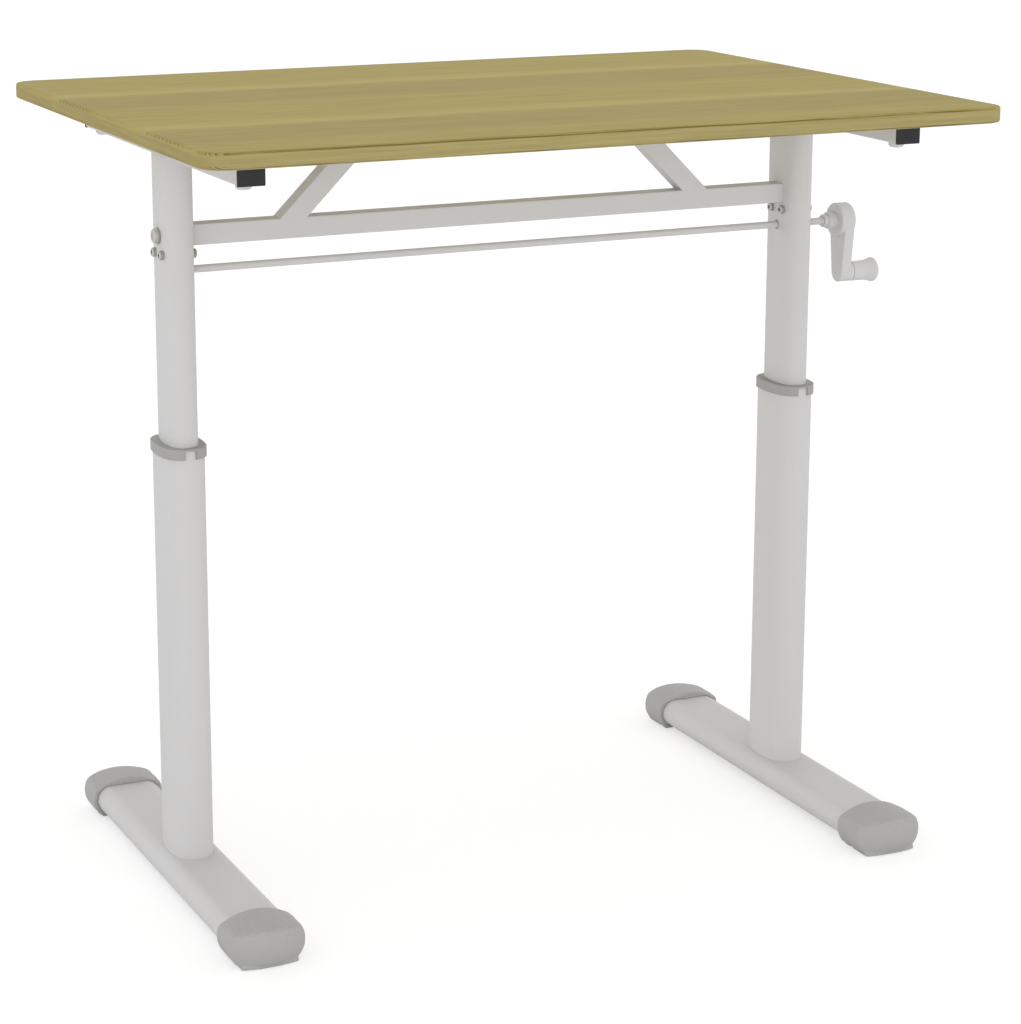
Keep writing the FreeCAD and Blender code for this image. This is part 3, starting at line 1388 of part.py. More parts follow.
def check_and_write():
    """Stop on any failed object or empty shape, then write one file for each sub-part."""
    doc.recompute()
    failed = [thing.Name for thing in doc.Objects if {"Invalid", "Error"} & set(thing.State)]
    failed += [thing.Label for thing in nodes if thing.Shape.isNull() or not thing.Shape.isValid()]
    failed += [thing.Label for thing in nodes if not thing.Shape.Solids]
    if failed:
        raise RuntimeError(f"these objects failed: {failed}")
    os.makedirs("parts", exist_ok=True)
    for thing in nodes:
        thing.Shape.exportStep(f"parts/{thing.Label}.step")
        print(thing.Label, len(thing.Shape.Solids), round(thing.Shape.Volume))
    print(len(nodes), "sub-parts")


make_tabletop()
make_rails()
make_beam()
for side_name, side_sign in SIDES.items():
    make_upper_column(side_name, side_sign)
    make_head_plate(side_name, side_sign)
    make_glide(side_name, side_sign)
    make_brace(side_name, side_sign)
    make_housing(side_name, side_sign)
    make_screw(side_name, side_sign)
    make_foot(side_name, side_sign)
    make_collar(side_name, side_sign)
    pads = []
    for end_name, end_sign in ENDS.items():
        make_shoe(f"{side_name}_{end_name}", side_sign, end_sign)
        pads += foot_pads(f"{side_name}_{end_name}", side_sign, end_sign)
    node(group(f"{side_name}_pad_set", pads), f"{side_name}_floor_pads")
make_head_screws()
make_brace_screws()
make_gearbox_screws()
make_bushes()
make_drive()
make_crank()
check_and_write()
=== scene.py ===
"""Looks of a crank-driven height-adjustable desk, in metres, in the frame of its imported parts.

+Z is up, +X is to the sitter's right and +Y points away from the sitter. Each sub-assembly is a class
that models its pieces by hand-style operators, takes their places from the parts, and dresses them.
"""

import json
import logging
import math
from collections.abc import Callable, Sequence
from dataclasses import dataclass
from enum import Enum, IntEnum

import bmesh
import bpy
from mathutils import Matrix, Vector

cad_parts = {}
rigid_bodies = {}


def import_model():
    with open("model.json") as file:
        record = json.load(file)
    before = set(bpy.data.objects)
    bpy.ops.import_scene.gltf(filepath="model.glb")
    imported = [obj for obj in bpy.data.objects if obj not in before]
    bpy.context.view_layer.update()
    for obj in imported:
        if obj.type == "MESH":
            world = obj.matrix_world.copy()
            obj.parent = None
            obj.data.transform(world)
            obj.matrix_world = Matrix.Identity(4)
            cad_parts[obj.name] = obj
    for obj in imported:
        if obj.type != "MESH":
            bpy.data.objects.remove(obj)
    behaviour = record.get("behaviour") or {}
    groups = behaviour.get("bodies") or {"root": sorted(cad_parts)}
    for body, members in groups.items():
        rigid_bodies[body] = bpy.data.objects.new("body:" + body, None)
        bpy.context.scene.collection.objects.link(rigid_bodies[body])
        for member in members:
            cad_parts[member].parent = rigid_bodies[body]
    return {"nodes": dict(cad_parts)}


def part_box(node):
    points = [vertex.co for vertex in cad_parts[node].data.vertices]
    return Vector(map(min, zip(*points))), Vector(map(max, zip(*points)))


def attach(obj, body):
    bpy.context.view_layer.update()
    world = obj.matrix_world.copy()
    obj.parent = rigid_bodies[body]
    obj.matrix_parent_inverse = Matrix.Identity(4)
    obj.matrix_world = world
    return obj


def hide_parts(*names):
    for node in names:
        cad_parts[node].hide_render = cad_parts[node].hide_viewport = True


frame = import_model()
log = logging.getLogger("desk")

Colour = tuple[float, float, float]
Point = Sequence[float]
Span = tuple[float, float]
Test = Callable[[Vector, Vector], bool]

# Spots closer than SAME are one spot, points of a part's mesh closer than WELD are one point, and a
# circle's radius or a part's face is found to within ROUND.
SAME = 1e-6
WELD = 2e-6
ROUND = 1e-4
# How much of a direction lies along an axis: of a face square to it, and of an edge along or across it.
SQUARE = 0.99
ALONG = 0.5
ACROSS = 0.1

BOARD_CORNER = 0.024


def tone(red: float, green: float, blue: float) -> Colour:
    """Turn a colour as a screen shows it, 0 to 255, into the linear one that a shader takes.

    Args:
        red: The screen's red.
        green: The screen's green.
        blue: The screen's blue.

    Returns:
        The three linear shares.
    """
    shares = [level / 255 for level in (red, green, blue)]
    linear = [s / 12.92 if s <= 0.04045 else ((s + 0.055) / 1.055) ** 2.4 for s in shares]
    return linear[0], linear[1], linear[2]


def grey(level: float) -> tuple[float, float, float, float]:
    """Linear grey with full cover."""
    return level, level, level, 1.0


class Named(Enum):
    """A choice that the parts' names spell in small letters."""

    @property
    def word(self) -> str:
        """Word that the parts' names use."""
        return self.name.lower()


class Side(Named):
    """The two legs, with the way along X that each one lies."""

    LEFT = -1
    RIGHT = 1


class End(Named):
    """The two ends of a rail or a foot, with the way along Y that each one lies."""

    FRONT = -1
    REAR = 1


class Axis(IntEnum):
    """The frame's axes, as places in a vector."""

    X = 0
    Y = 1
    Z = 2


class Pick(Enum):
    """What an edit-mode selection is made of."""

    POINTS = "VERT"
    EDGES = "EDGE"
    FACES = "FACE"


class Change(Enum):
    """How one shape changes another."""

    JOIN = "UNION"
    CUT = "DIFFERENCE"


def reach(spot: Vector, centre: Vector) -> float:
    """Distance of a spot from the line along X through a centre."""
    return math.hypot(spot.y - centre.y, spot.z - centre.z)


def everything(middle: Vector, way: Vector) -> bool:
    """Pick all there is."""
    return True


def along(axis: Axis) -> Test:
    """Pick the edges that run along an axis or lean that way."""
    return lambda middle, way: abs(way[axis]) > ALONG


def facing(axis: Axis, sign: int, place: float, within: float = SAME) -> Test:
    """Pick the faces at one place along an axis, or within a distance, that look one way along it."""
    return lambda middle, way: way[axis] * sign > SQUARE and abs(middle[axis] - place) < within


def around(axis: Axis, place: float) -> Test:
    """Pick the edges at one place along an axis that run across it."""
    return lambda middle, way: abs(way[axis]) < ACROSS and abs(middle[axis] - place) < SAME


def circle(centre: Vector, place: float, radius: float) -> Test:
    """Pick one circle of edges about the line along X through a centre, by its place and radius."""
    level = around(Axis.X, place)
    return lambda middle, way: level(middle, way) and abs(reach(middle, centre) - radius) < ROUND


def adds(operation: str, swapped: bool = False) -> Callable[..., "Wire"]:
    """Make a method of a wire that adds one Math node.

    Args:
        operation: The node's operation.
        swapped: Whether the wire is the node's second value.

    Returns:
        The method.
    """

    def method(wire: "Wire", other: "Feed" = 0.0) -> "Wire":
        """Add the Math node for a wire and another value."""
        values = {0: other, 1: wire} if swapped else {0: wire, 1: other}
        return wire.recipe.node("ShaderNodeMath", {"operation": operation}, values)

    return method


class Wire:
    """A socket in a material's node tree. Arithmetic on it adds Math nodes."""

    def __init__(self, recipe: "Recipe", socket: bpy.types.NodeSocket) -> None:
        """Keep the socket and the recipe that it belongs to."""
        self.recipe = recipe
        self.socket = socket

    __add__ = adds("ADD")
    __radd__ = adds("ADD", swapped=True)
    __sub__ = adds("SUBTRACT")
    __rsub__ = adds("SUBTRACT", swapped=True)
    __mul__ = adds("MULTIPLY")
    __rmul__ = adds("MULTIPLY", swapped=True)
    __truediv__ = adds("DIVIDE")
    __rtruediv__ = adds("DIVIDE", swapped=True)
    cosine = adds("COSINE")
    size = adds("ABSOLUTE")
    part = adds("FRACT")
    least = adds("MAXIMUM")
    root = adds("SQRT")

    def ramp(self, low: float, high: float) -> "Wire":
        """Rise smoothly from 0 at a low value to 1 at a high one."""
        settings = {"interpolation_type": "SMOOTHSTEP"}
        return self.recipe.node("ShaderNodeMapRange", settings, {0: self, 1: low, 2: high})

    def fade(self, low: float, high: float) -> "Wire":
        """Fall smoothly from 1 at a low value to 0 at a high one."""
        return 1.0 - self.ramp(low, high)


Feed = Wire | float | Sequence[float]


class Recipe:
    """Node tree of one material or of the world, written as expressions."""

    def __init__(self, owner: bpy.types.Material | bpy.types.World) -> None:
        """Start with an empty tree.

        Args:
            owner: The material or world that the tree belongs to.
        """
        owner.use_nodes = True
        self.owner = owner
        self.tree = owner.node_tree
        self.tree.nodes.clear()

    @classmethod
    def named(cls, name: str) -> "Recipe":
        """Start a new material under a name."""
        return cls(bpy.data.materials.new(name))

    def node(
        self,
        kind: str,
        settings: dict[str, object] | None = None,
        inputs: dict[int | str, Feed] | None = None,
        output: int | str = 0,
    ) -> Wire:
        """Add a node of any kind.

        Args:
            kind: The node's type.
            settings: Its properties, set before its sockets.
            inputs: Values or wires for its sockets, by number or name.
            output: The socket to hand back.

        Returns:
            The chosen output as a wire.
        """
        node = self.tree.nodes.new(kind)
        for key, value in (settings or {}).items():
            setattr(node, key, value)
        for key, value in (inputs or {}).items():
            if isinstance(value, Wire):
                self.tree.links.new(value.socket, node.inputs[key])
            else:
                node.inputs[key].default_value = value
        return Wire(self, node.outputs[output])

    def spot(self) -> Wire:
        """Object coordinates."""
        return self.node("ShaderNodeTexCoord", output="Object")

    def split(self, spot: Wire) -> tuple[Wire, Wire, Wire]:
        """Three coordinates of a spot as values."""
        outputs = self.node("ShaderNodeSeparateXYZ", {}, {0: spot}).socket.node.outputs
        return Wire(self, outputs[0]), Wire(self, outputs[1]), Wire(self, outputs[2])

    def join(self, x: Feed, y: Feed, z: Feed) -> Wire:
        """Spot made of three values."""
        return self.node("ShaderNodeCombineXYZ", {}, {0: x, 1: y, 2: z})

    def stretch(self, spot: Wire, factors: Point, shift: Point = (0.0, 0.0, 0.0)) -> Wire:
        """Coordinates times a factor along each axis, and then shifted."""
        return self.node("ShaderNodeMapping", {}, {"Vector": spot, "Scale": factors, "Location": shift})

    def noise(self, place: Wire, scale: float, detail: float = 2.0, rough: float = 0.5) -> Wire:
        """Noise about 0.5, from its cells in a unit, its octaves and the share that each one keeps."""
        inputs = {"Vector": place, "Scale": scale, "Detail": detail, "Roughness": rough}
        return self.node("ShaderNodeTexNoise", {}, inputs)

    def drawn(
        self, factors: Point, detail: float = 2.0, rough: float = 0.5, shift: float = 0.0
    ) -> Wire:
        """Noise on the object's coordinates with its own cells in a metre along each axis."""
        return self.noise(self.stretch(self.spot(), factors, (shift, 0.0, 0.0)), 1.0, detail, rough)

    def mix(self, share: Feed, first: Feed, second: Feed, way: str = "MIX") -> Wire:
        """Mix two colours.

        Args:
            share: How much of the second one.
            first: First colour.
            second: Second colour.
            way: The blend type.

        Returns:
            The mixed colour.
        """
        colours = [c if isinstance(c, Wire) else (*c, 1.0) for c in (first, second)]
        settings = {"data_type": "RGBA", "blend_type": way}
        return self.node("ShaderNodeMix", settings, {0: share, 6: colours[0], 7: colours[1]}, 2)

    def shaded(self, colour: Feed, shade: Wire) -> Wire:
        """Colour made lighter or darker by a factor."""
        return self.mix(1.0, colour, shade, "MULTIPLY")

    def bump(self, height: Wire, depth: float, strength: float) -> Wire:
        """Normal of a fine relief, from its heights, its depth in metres and the effect's share."""
        inputs = {"Height": height, "Distance": depth, "Strength": strength}
        return self.node("ShaderNodeBump", {}, inputs, "Normal")

    def surface(self, **sockets: Feed) -> bpy.types.Material:
        """Close the recipe with a surface shader, whose sockets are named with _ for a blank."""
        inputs = {key.replace("_", " "): value for key, value in sockets.items()}
        return self.close(self.node("ShaderNodeBsdfPrincipled", {}, inputs))

    def close(
        self, shader: Wire, kind: str = "ShaderNodeOutputMaterial"
    ) -> bpy.types.Material | bpy.types.World:
        """Send a shader to the output.

        Args:
            shader: The shader.
            kind: The output's type.

        Returns:
            The finished material or world.
        """
        output = self.tree.nodes.new(kind)
        self.tree.links.new(shader.socket, output.inputs["Surface"])
        return self.owner


@dataclass(frozen=True)
class PowderCoat:
    """Baked powder paint with a faint orange peel. Clouds, peel and specks are in cells in a metre."""

    name: str
    colour: Colour
    roughness: float = 0.5
    clouds: float = 7.0
    peel: float = 430.0
    specks: float = 2600.0
    depth: float = 0.00022

    def material(self) -> bpy.types.Material:
        """Build the paint.

        Returns:
            The material.
        """
        recipe = Recipe.named(self.name)
        place = recipe.spot()
        cloud = recipe.noise(place, self.clouds, 3.0)
        peel = recipe.noise(place, self.peel, 2.0, 0.55)
        speck = recipe.noise(place, self.specks, 1.0)
        return recipe.surface(
            Base_Color=recipe.shaded(self.colour, 0.955 + cloud * 0.05 + peel * 0.03 + speck * 0.02),
            Roughness=self.roughness - 0.06 + peel * 0.08 + cloud * 0.05,
            Specular_IOR_Level=0.4,
            Normal=recipe.bump(peel, self.depth, 0.35),
        )


@dataclass(frozen=True)
class MouldedPlastic:
    """Moulded plastic with a spark-eroded skin, which is speckled above a height.

    Flow and skin are in cells in a metre.
    """

    name: str
    colour: Colour
    roughness: float = 0.55
    flow: Point = (9.0, 3.0, 16.0)
    skin: float = 1500.0
    speckle: float = 0.07
    speckled: Span = (0.0, 0.001)
    depth: float = 0.00016

    def material(self) -> bpy.types.Material:
        """Build the plastic.

        Returns:
            The material.
        """
        recipe = Recipe.named(self.name)
        flow = recipe.drawn(self.flow, 3.0)
        skin = recipe.noise(recipe.spot(), self.skin, 3.0, 0.6)
        high = recipe.split(recipe.spot())[Axis.Z].ramp(*self.speckled)
        speckle = (skin - 0.5) * self.speckle * (0.25 + high * 0.75)
        return recipe.surface(
            Base_Color=recipe.shaded(self.colour, 0.965 + flow * 0.07 + speckle),
            Roughness=self.roughness - 0.08 + skin * 0.12 + flow * 0.05,
            Specular_IOR_Level=0.4,
            Normal=recipe.bump(skin, self.depth, 0.5),
        )


@dataclass(frozen=True)
class BareMetal:
    """Plated, cast or machined metal with fine tool marks. Clouds and marks are in cells in a metre."""

    name: str
    colour: Colour
    roughness: float = 0.35
    metallic: float = 1.0
    clouds: float = 60.0
    marks: Point = (900.0, 900.0, 900.0)
    depth: float = 0.00008

    def material(self) -> bpy.types.Material:
        """Build the metal.

        Returns:
            The material.
        """
        recipe = Recipe.named(self.name)
        cloud = recipe.noise(recipe.spot(), self.clouds, 3.0)
        marks = recipe.drawn(self.marks)
        return recipe.surface(
            Base_Color=recipe.shaded(self.colour, 0.86 + cloud * 0.14 + marks * 0.12),
            Metallic=self.metallic,
            Roughness=self.roughness - 0.1 + cloud * 0.1 + marks * 0.12,
            Normal=recipe.bump(marks, self.depth, 0.3),
        )


@dataclass(frozen=True)
class Marks:
    """Marks of the grain: their length and width, their octaves, and what sets their pattern apart."""

    length: float
    width: float
    detail: float
    shift: float


@dataclass(frozen=True)
class WoodGrain:
    """Pale wood with its grain along X, printed in strips that come again across the board.

    Depths are measured down from the top of the board, and a band's distances in from its outline. A
    span or a band gives where something starts to change and where the change is full.
    """

    name: str
    straw: Colour
    olive: Colour
    dusky: Colour
    flank: Colour
    face: Colour
    under: Colour
    dark: Colour
    half_length: float
    half_depth: float
    top: float
    corner: float = BOARD_CORNER
    repeat: float = 0.266
    seam: float = -0.138
    sway: float = 0.009
    streaks: Marks = Marks(0.3, 0.024, 4.0, 0.0)
    hairs: Marks = Marks(0.1, 0.009, 4.0, 3.0)
    fibres: Marks = Marks(0.03, 0.0042, 3.0, 5.0)
    dashes: Marks = Marks(0.07, 0.008, 2.0, 8.0)
    dash_edge: Span = (0.62, 0.74)
    relief: float = 0.0001
    bright_start: Span = (0.0, 0.01)
    bright_end: Span = (0.015, 0.06)
    dusky_start: Span = (0.078, 0.12)
    dusky_end: Span = (0.0, 0.008)
    side_from: Span = (0.0008, 0.0028)
    under_from: Span = (0.0142, 0.0149)
    # Painted highlight: a straw line on the board's ends, along the foot of the top's rounded edge.
    roll_depth: float = 0.0022
    roll_edge: Span = (0.0004, 0.0018)
    end_band: Span = (0.012, 0.003)
    long_band: Span = (BOARD_CORNER, 0.002)
    line_band: Span = (0.0022, 0.0004)
    corner_band: Span = (0.03, 0.012)
    upper_line: float = 0.0013
    lower_line: float = 0.0138
    line_edge: Span = (0.0002, 0.0011)
    swing: float = 0.0018
    layer: float = 0.0037
    end_layer: float = 0.0105
    layer_edge: Span = (0.1, 0.9)
    stroke_reach: Span = (0.002, 0.0075)
    stroke_end: Span = (0.0012, 0.0032)
    foot_from: Span = (0.0108, 0.0124)

    def material(self) -> bpy.types.Material:
        """Build the wood.

        Returns:
            The material.
        """
        recipe = Recipe.named(self.name)
        x, y, z = recipe.split(recipe.spot())
        below = self.top - z
        side = below.ramp(*self.side_from)
        sway = (recipe.drawn((1.5, 3.0, 3.0)) - 0.5) * self.sway
        strip = ((y + sway - self.seam) / self.repeat).part() * self.repeat
        ahead = self.repeat - strip
        top_place = recipe.join(x, strip + below, below * 0.2)
        edge_place = recipe.join(x + y, below, 0.0)

        def grain(marks: Marks) -> Wire:
            """Draw noise out along the grain on the top and, finer, along the board's edges.

            Args:
                marks: The marks that it gives.

            Returns:
                The noise.
            """
            shift = (marks.shift, marks.shift, 0.0)
            wide = recipe.stretch(top_place, (1 / marks.length, 1 / marks.width, 1 / marks.width), shift)
            fine = recipe.stretch(edge_place, (0.7 / marks.length, 2.4 / marks.width, 1.0), shift)
            flat, edge = (recipe.noise(place, 1.0, marks.detail, 0.6) for place in (wide, fine))
            return flat + (edge - flat) * side

        bright = strip.ramp(*self.bright_start) * strip.fade(*self.bright_end)
        dusky = ahead.ramp(*self.dusky_end) * ahead.fade(*self.dusky_start)
        streak, hair, fibre = (grain(marks) for marks in (self.streaks, self.hairs, self.fibres))
        end = side * self.near(x, self.half_length, self.end_band)
        # Painted highlight: a straw line on the ends where the top's rounded edge meets the side.
        roll = (below - self.roll_depth).size().fade(*self.roll_edge) * end
        long_side = side * self.near(y, self.half_depth, self.long_band)
        lines = grain(self.dashes).ramp(*self.dash_edge) * (0.05 + dusky * 0.22)

        colour = self.olive
        for share, layer in (
            (bright * 0.95, self.straw),
            (dusky * (0.45 + streak * 0.7), self.dusky),
            (side * 0.88, self.flank),
            (roll * 0.3, self.straw),
            (long_side * 0.9, self.face),
            (below.ramp(*self.under_from), self.under),
        ):
            colour = recipe.mix(share, colour, layer)
        shade = 0.61 + streak * 0.22 + hair * 0.34 + fibre * 0.22 + (hair - 0.5) * side * 0.3
        colour = recipe.mix(lines, recipe.shaded(colour, shade), self.dark)
        colour = recipe.mix(self.edge_lines(recipe, (x, y, below), strip, dusky), colour, self.dark)
        return recipe.surface(
            Base_Color=colour,
            Roughness=0.5 + fibre * 0.12 - lines * 0.2,
            Specular_IOR_Level=0.08,
            Normal=recipe.bump(hair, self.relief, 0.2),
        )

    @staticmethod
    def near(place: Wire, half: float, band: Span) -> Wire:
        """Rise towards the edges on both sides of the board's middle, over a band in from them."""
        return place.size().ramp(half - band[0], half - band[1])

    def rim(self, x: Wire, y: Wire) -> Wire:
        """Distance in from the board's rounded outline.

        Args:
            x: Coordinate along the grain.
            y: Coordinate across it.

        Returns:
            The distance near the corners and edges.
        """
        over_x = (x.size() - (self.half_length - self.corner)).least(0.0)
        over_y = (y.size() - (self.half_depth - self.corner)).least(0.0)
        return self.corner - (over_x * over_x + over_y * over_y).root()

    def edge_lines(
        self, recipe: Recipe, spot: tuple[Wire, Wire, Wire], strip: Wire, dusky: Wire
    ) -> Wire:
        """Dark grain lines where the top and the underside roll over into the edges.

        Along the front and back they run on as two long broken lines. Round the corners and along the
        ends they turn into short slanted strokes, one for each layer of grain.

        Args:
            recipe: The material's recipe.
            spot: Coordinates along and across the grain, and the depth below the top.
            strip: Place within the printed strip.
            dusky: Where the wood is dusky, which shows the strokes most.

        Returns:
            How dark the lines are at each point.
        """
        x, y, below = spot
        broken = recipe.drawn((8.0, 30.0, 200.0), 4.0, 0.65)
        swing = (recipe.drawn((14.0, 14.0, 14.0)) - 0.5) * self.swing
        depths = (self.upper_line, self.lower_line)
        upper, lower = ((below + swing - depth).size().fade(*self.line_edge) for depth in depths)
        long_edge = self.near(y, self.half_depth, self.line_band)
        long_lines = (upper * broken.ramp(0.26, 0.5) + lower * broken.ramp(0.4, 0.6)) * long_edge

        rim = self.rim(x, y)
        slant = strip + below * 1.4 + rim * 0.8 + swing
        turns = (2 * math.pi / layer for layer in (self.layer, self.end_layer))
        near, far = ((slant * turn).cosine().ramp(*self.layer_edge) for turn in turns)
        corner = self.near(y, self.half_depth, self.corner_band)
        layers = far + (near - far) * corner
        on_top = rim.fade(*self.stroke_reach) * below.fade(*self.stroke_end)
        on_foot = below.ramp(*self.foot_from) * below.fade(*self.under_from)
        patchy = recipe.drawn((6.0, 24.0, 24.0), 3.0, 0.6, 5.0).ramp(0.32, 0.6)
        strokes = layers * (on_top + on_foot) * (0.14 + dusky * 0.42 + corner * 0.9) * patchy
        return long_lines * 0.76 + strokes * (1.0 - long_edge) * 0.9


class Finish(Enum):
    """The desk's finishes."""

    BOARD_WOOD = WoodGrain(
        "board_wood",
        straw=tone(176, 161, 93),
        olive=tone(166, 151, 82),
        dusky=tone(159, 143, 83),
        flank=tone(158, 144, 91),
        face=tone(163, 151, 102),
        under=tone(206, 197, 168),
        dark=tone(92, 72, 32),
        half_length=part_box("tabletop")[1].x,
        half_depth=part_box("tabletop")[1].y,
        top=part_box("tabletop")[1].z,
    )
    LIGHT_PAINT = PowderCoat("light_paint", tone(203, 202, 202))
    GREY_PLASTIC = MouldedPlastic(
        "grey_plastic",
        tone(170, 169, 168),
        skin=640.0,
        speckle=0.55,
        speckled=(0.026, 0.036),
        depth=0.00008,
    )
    # Painted shade: the grey plastic made darker all over, standing in for the shade on the collars'
    # tops.
    COLLAR_PLASTIC = MouldedPlastic("collar_plastic", tone(161, 160, 158), roughness=0.6)
    LIGHT_PLASTIC = MouldedPlastic("light_plastic", tone(206, 205, 205), roughness=0.45, depth=0.00008)
    BLACK_PLASTIC = MouldedPlastic("black_plastic", tone(40, 40, 42), roughness=0.5)
    ZINC_STEEL = BareMetal("zinc_steel", tone(198, 197, 193), roughness=0.5, metallic=0.4)
    # Painted shade: a darker steel for the screws' sockets and head sides, where shade falls.
    DARK_STEEL = BareMetal("dark_steel", tone(161, 160, 155), roughness=0.6, metallic=0.3)
    HOUSING_ALLOY = BareMetal(
        "housing_alloy", tone(193, 193, 194), roughness=0.55, marks=(400.0, 400.0, 400.0)
    )
    BUSH_BRONZE = BareMetal(
        "bush_bronze", tone(192, 163, 112), roughness=0.3, marks=(300.0, 300.0, 3000.0)
    )

    @property
    def slot(self) -> str:
        """Name of the record's material slot, which is the finish's own name or that of one like it."""
        shared = {Finish.COLLAR_PLASTIC: Finish.GREY_PLASTIC, Finish.DARK_STEEL: Finish.ZINC_STEEL}
        return shared.get(self, self).name.lower()


class Wardrobe:
    """The materials, each made the first time that it is asked for."""

    def __init__(self) -> None:
        """Start with none made."""
        self.made: dict[Finish, bpy.types.Material] = {}

    def material(self, finish: Finish) -> bpy.types.Material:
        """Material of a finish.

        Args:
            finish: The finish.

        Returns:
            Its material.
        """
        if finish not in self.made:
            self.made[finish] = finish.value.material()
        return self.made[finish]

    def dress(self, piece: bpy.types.Object, finish: Finish) -> None:
        """Give a piece one finish all over."""
        piece.data.materials.clear()
        piece.data.materials.append(self.material(finish))

    def trim(self, piece: bpy.types.Object, finish: Finish, test: Test) -> None:
        """Give some faces of a dressed piece another finish.

        Args:
            piece: The piece.
            finish: The finish of those faces.
            test: Called with the middle of each face and its normal.
        """
        piece.data.materials.append(self.material(finish))
        for face in piece.data.polygons:
            if test(face.center, face.normal):
                face.material_index = 1


def put_down() -> None:
    """Leave edit mode, with nothing selected."""
    if bpy.context.object and bpy.context.object.mode != "OBJECT":
        bpy.ops.object.mode_set(mode="OBJECT")
    bpy.ops.object.select_all(action="DESELECT")


def take_up(piece: bpy.types.Object) -> None:
    """Make a piece the only one that operators work on.

    Args:
        piece: The piece.
    """
    put_down()
    bpy.context.view_layer.objects.active = piece
    piece.select_set(True)


class Bench:
    """One piece while it is shaped with edit-mode operators."""

    def __init__(self, name: str) -> None:
        """Take up the primitive or copy that was just added.

        Args:
            name: The piece's name.
        """
        bpy.ops.object.transform_apply(location=True, rotation=True, scale=True)
        self.piece = bpy.context.view_layer.objects.active
        self.piece.name = name
        self.piece.data.name = name

    @classmethod
    def block(cls, name: str, low: Point, high: Point) -> "Bench":
        """Start from a block.

        Args:
            name: The piece's name.
            low: Lowest corner.
            high: Highest corner.

        Returns:
            The bench with the block on it.
        """
        put_down()
        start, end = Vector(low), Vector(high)
        bpy.ops.mesh.primitive_cube_add(size=1.0, location=(start + end) / 2)
        bpy.context.object.scale = end - start
        return cls(name)

    @classmethod
    def drum(cls, name: str, radius: float, start: Point, end: Point, sides: int = 48) -> "Bench":
        """Start from a round bar, or one with a few flat sides.

        Args:
            name: The piece's name.
            radius: Its radius.
            start: Middle of one end.
            end: Middle of the other end.
            sides: Number of sides.

        Returns:
            The bench with the bar on it.
        """
        put_down()
        way = Vector(end) - Vector(start)
        bpy.ops.mesh.primitive_cylinder_add(
            vertices=sides,
            radius=radius,
            depth=way.length,
            location=(Vector(start) + Vector(end)) / 2,
            rotation=Vector((0, 0, 1)).rotation_difference(way).to_euler(),
        )
        return cls(name)

    @classmethod
    def copy(cls, name: str, node: str, flat: float = 0.4) -> "Bench":
        """Start from a copy of a part's mesh, with its triangles merged into whole faces.

        Args:
            name: The piece's name.
            node: The part.
            flat: Angle in degrees below which two triangles are one face.

        Returns:
            The bench with the copy on it.
        """
        take_up(frame["nodes"][node])
        bpy.ops.object.duplicate(linked=False)
        bpy.ops.object.parent_clear(type="CLEAR_KEEP_TRANSFORM")
        bench = cls(name)
        bench.pick(Pick.POINTS, everything)
        bpy.ops.mesh.remove_doubles(threshold=WELD)
        bpy.ops.mesh.customdata_custom_splitnormals_clear()
        bpy.ops.mesh.dissolve_limited(angle_limit=math.radians(flat))
        return bench

    def pick(self, what: Pick, test: Test) -> "Bench":
        """Select what a test picks out.

        Args:
            what: Points, edges or faces.
            test: Called with the middle of each and its normal, or an edge's direction.

        Returns:
            The bench.
        """
        if self.piece.mode != "EDIT":
            take_up(self.piece)
            bpy.ops.object.mode_set(mode="EDIT")
        bpy.ops.mesh.select_mode(type=what.value)
        bpy.ops.mesh.select_all(action="DESELECT")
        mesh = bmesh.from_edit_mesh(self.piece.data)
        if what is Pick.POINTS:
            spots = [(point, point.co, point.normal) for point in mesh.verts]
        elif what is Pick.EDGES:
            ends = [(edge, edge.verts[0].co, edge.verts[1].co) for edge in mesh.edges]
            spots = [(edge, (a + b) / 2, (b - a).normalized()) for edge, a, b in ends]
        else:
            spots = [(face, face.calc_center_median(), face.normal) for face in mesh.faces]
        for element, middle, way in spots:
            element.select_set(test(middle, way))
        mesh.select_flush_mode()
        bmesh.update_edit_mesh(self.piece.data)
        return self

    def bevel(self, width: float, steps: int) -> "Bench":
        """Round the selected edges, with a width on each side and a number of faces across."""
        bpy.ops.mesh.bevel(offset=width, segments=steps, profile=0.5, affect="EDGES")
        return self

    def extrude(self, offset: Point) -> "Bench":
        """Draw the selected faces out by an offset."""
        bpy.ops.mesh.extrude_region_move(TRANSFORM_OT_translate={"value": Vector(offset)})
        return self

    def inset(self, width: float) -> "Bench":
        """Inset the selected faces."""
        bpy.ops.mesh.inset(thickness=width, depth=0.0)
        return self

    def move(self, offset: Point) -> "Bench":
        """Move what is selected."""
        bpy.ops.transform.translate(value=Vector(offset))
        return self

    def resize(self, factors: Point, centre: Point) -> "Bench":
        """Scale what is selected about a centre."""
        bpy.ops.transform.resize(value=Vector(factors), center_override=Vector(centre))
        return self

    def grow(self, radius: float, new_radius: float, centre: Point) -> "Bench":
        """Step the selected round or square face out or in about a centre, from one size to another."""
        share = new_radius / radius
        return self.extrude((0, 0, 0)).resize((share, share, share), centre)

    def remove(self) -> "Bench":
        """Take the selected faces away."""
        bpy.ops.mesh.delete(type="FACE")
        return self

    def ease(self, rounds: int) -> "Bench":
        """Smooth the selected points a number of times."""
        bpy.ops.mesh.vertices_smooth(factor=0.5, repeat=rounds)
        return self

    def apply(self, kind: str, **settings: object) -> "Bench":
        """Put a modifier on the piece and apply it.

        Args:
            kind: The modifier's type.
            settings: Its properties.

        Returns:
            The bench.
        """
        take_up(self.piece)
        change = self.piece.modifiers.new(kind.lower(), kind)
        for key, value in settings.items():
            setattr(change, key, value)
        bpy.ops.object.modifier_apply(modifier=change.name)
        return self

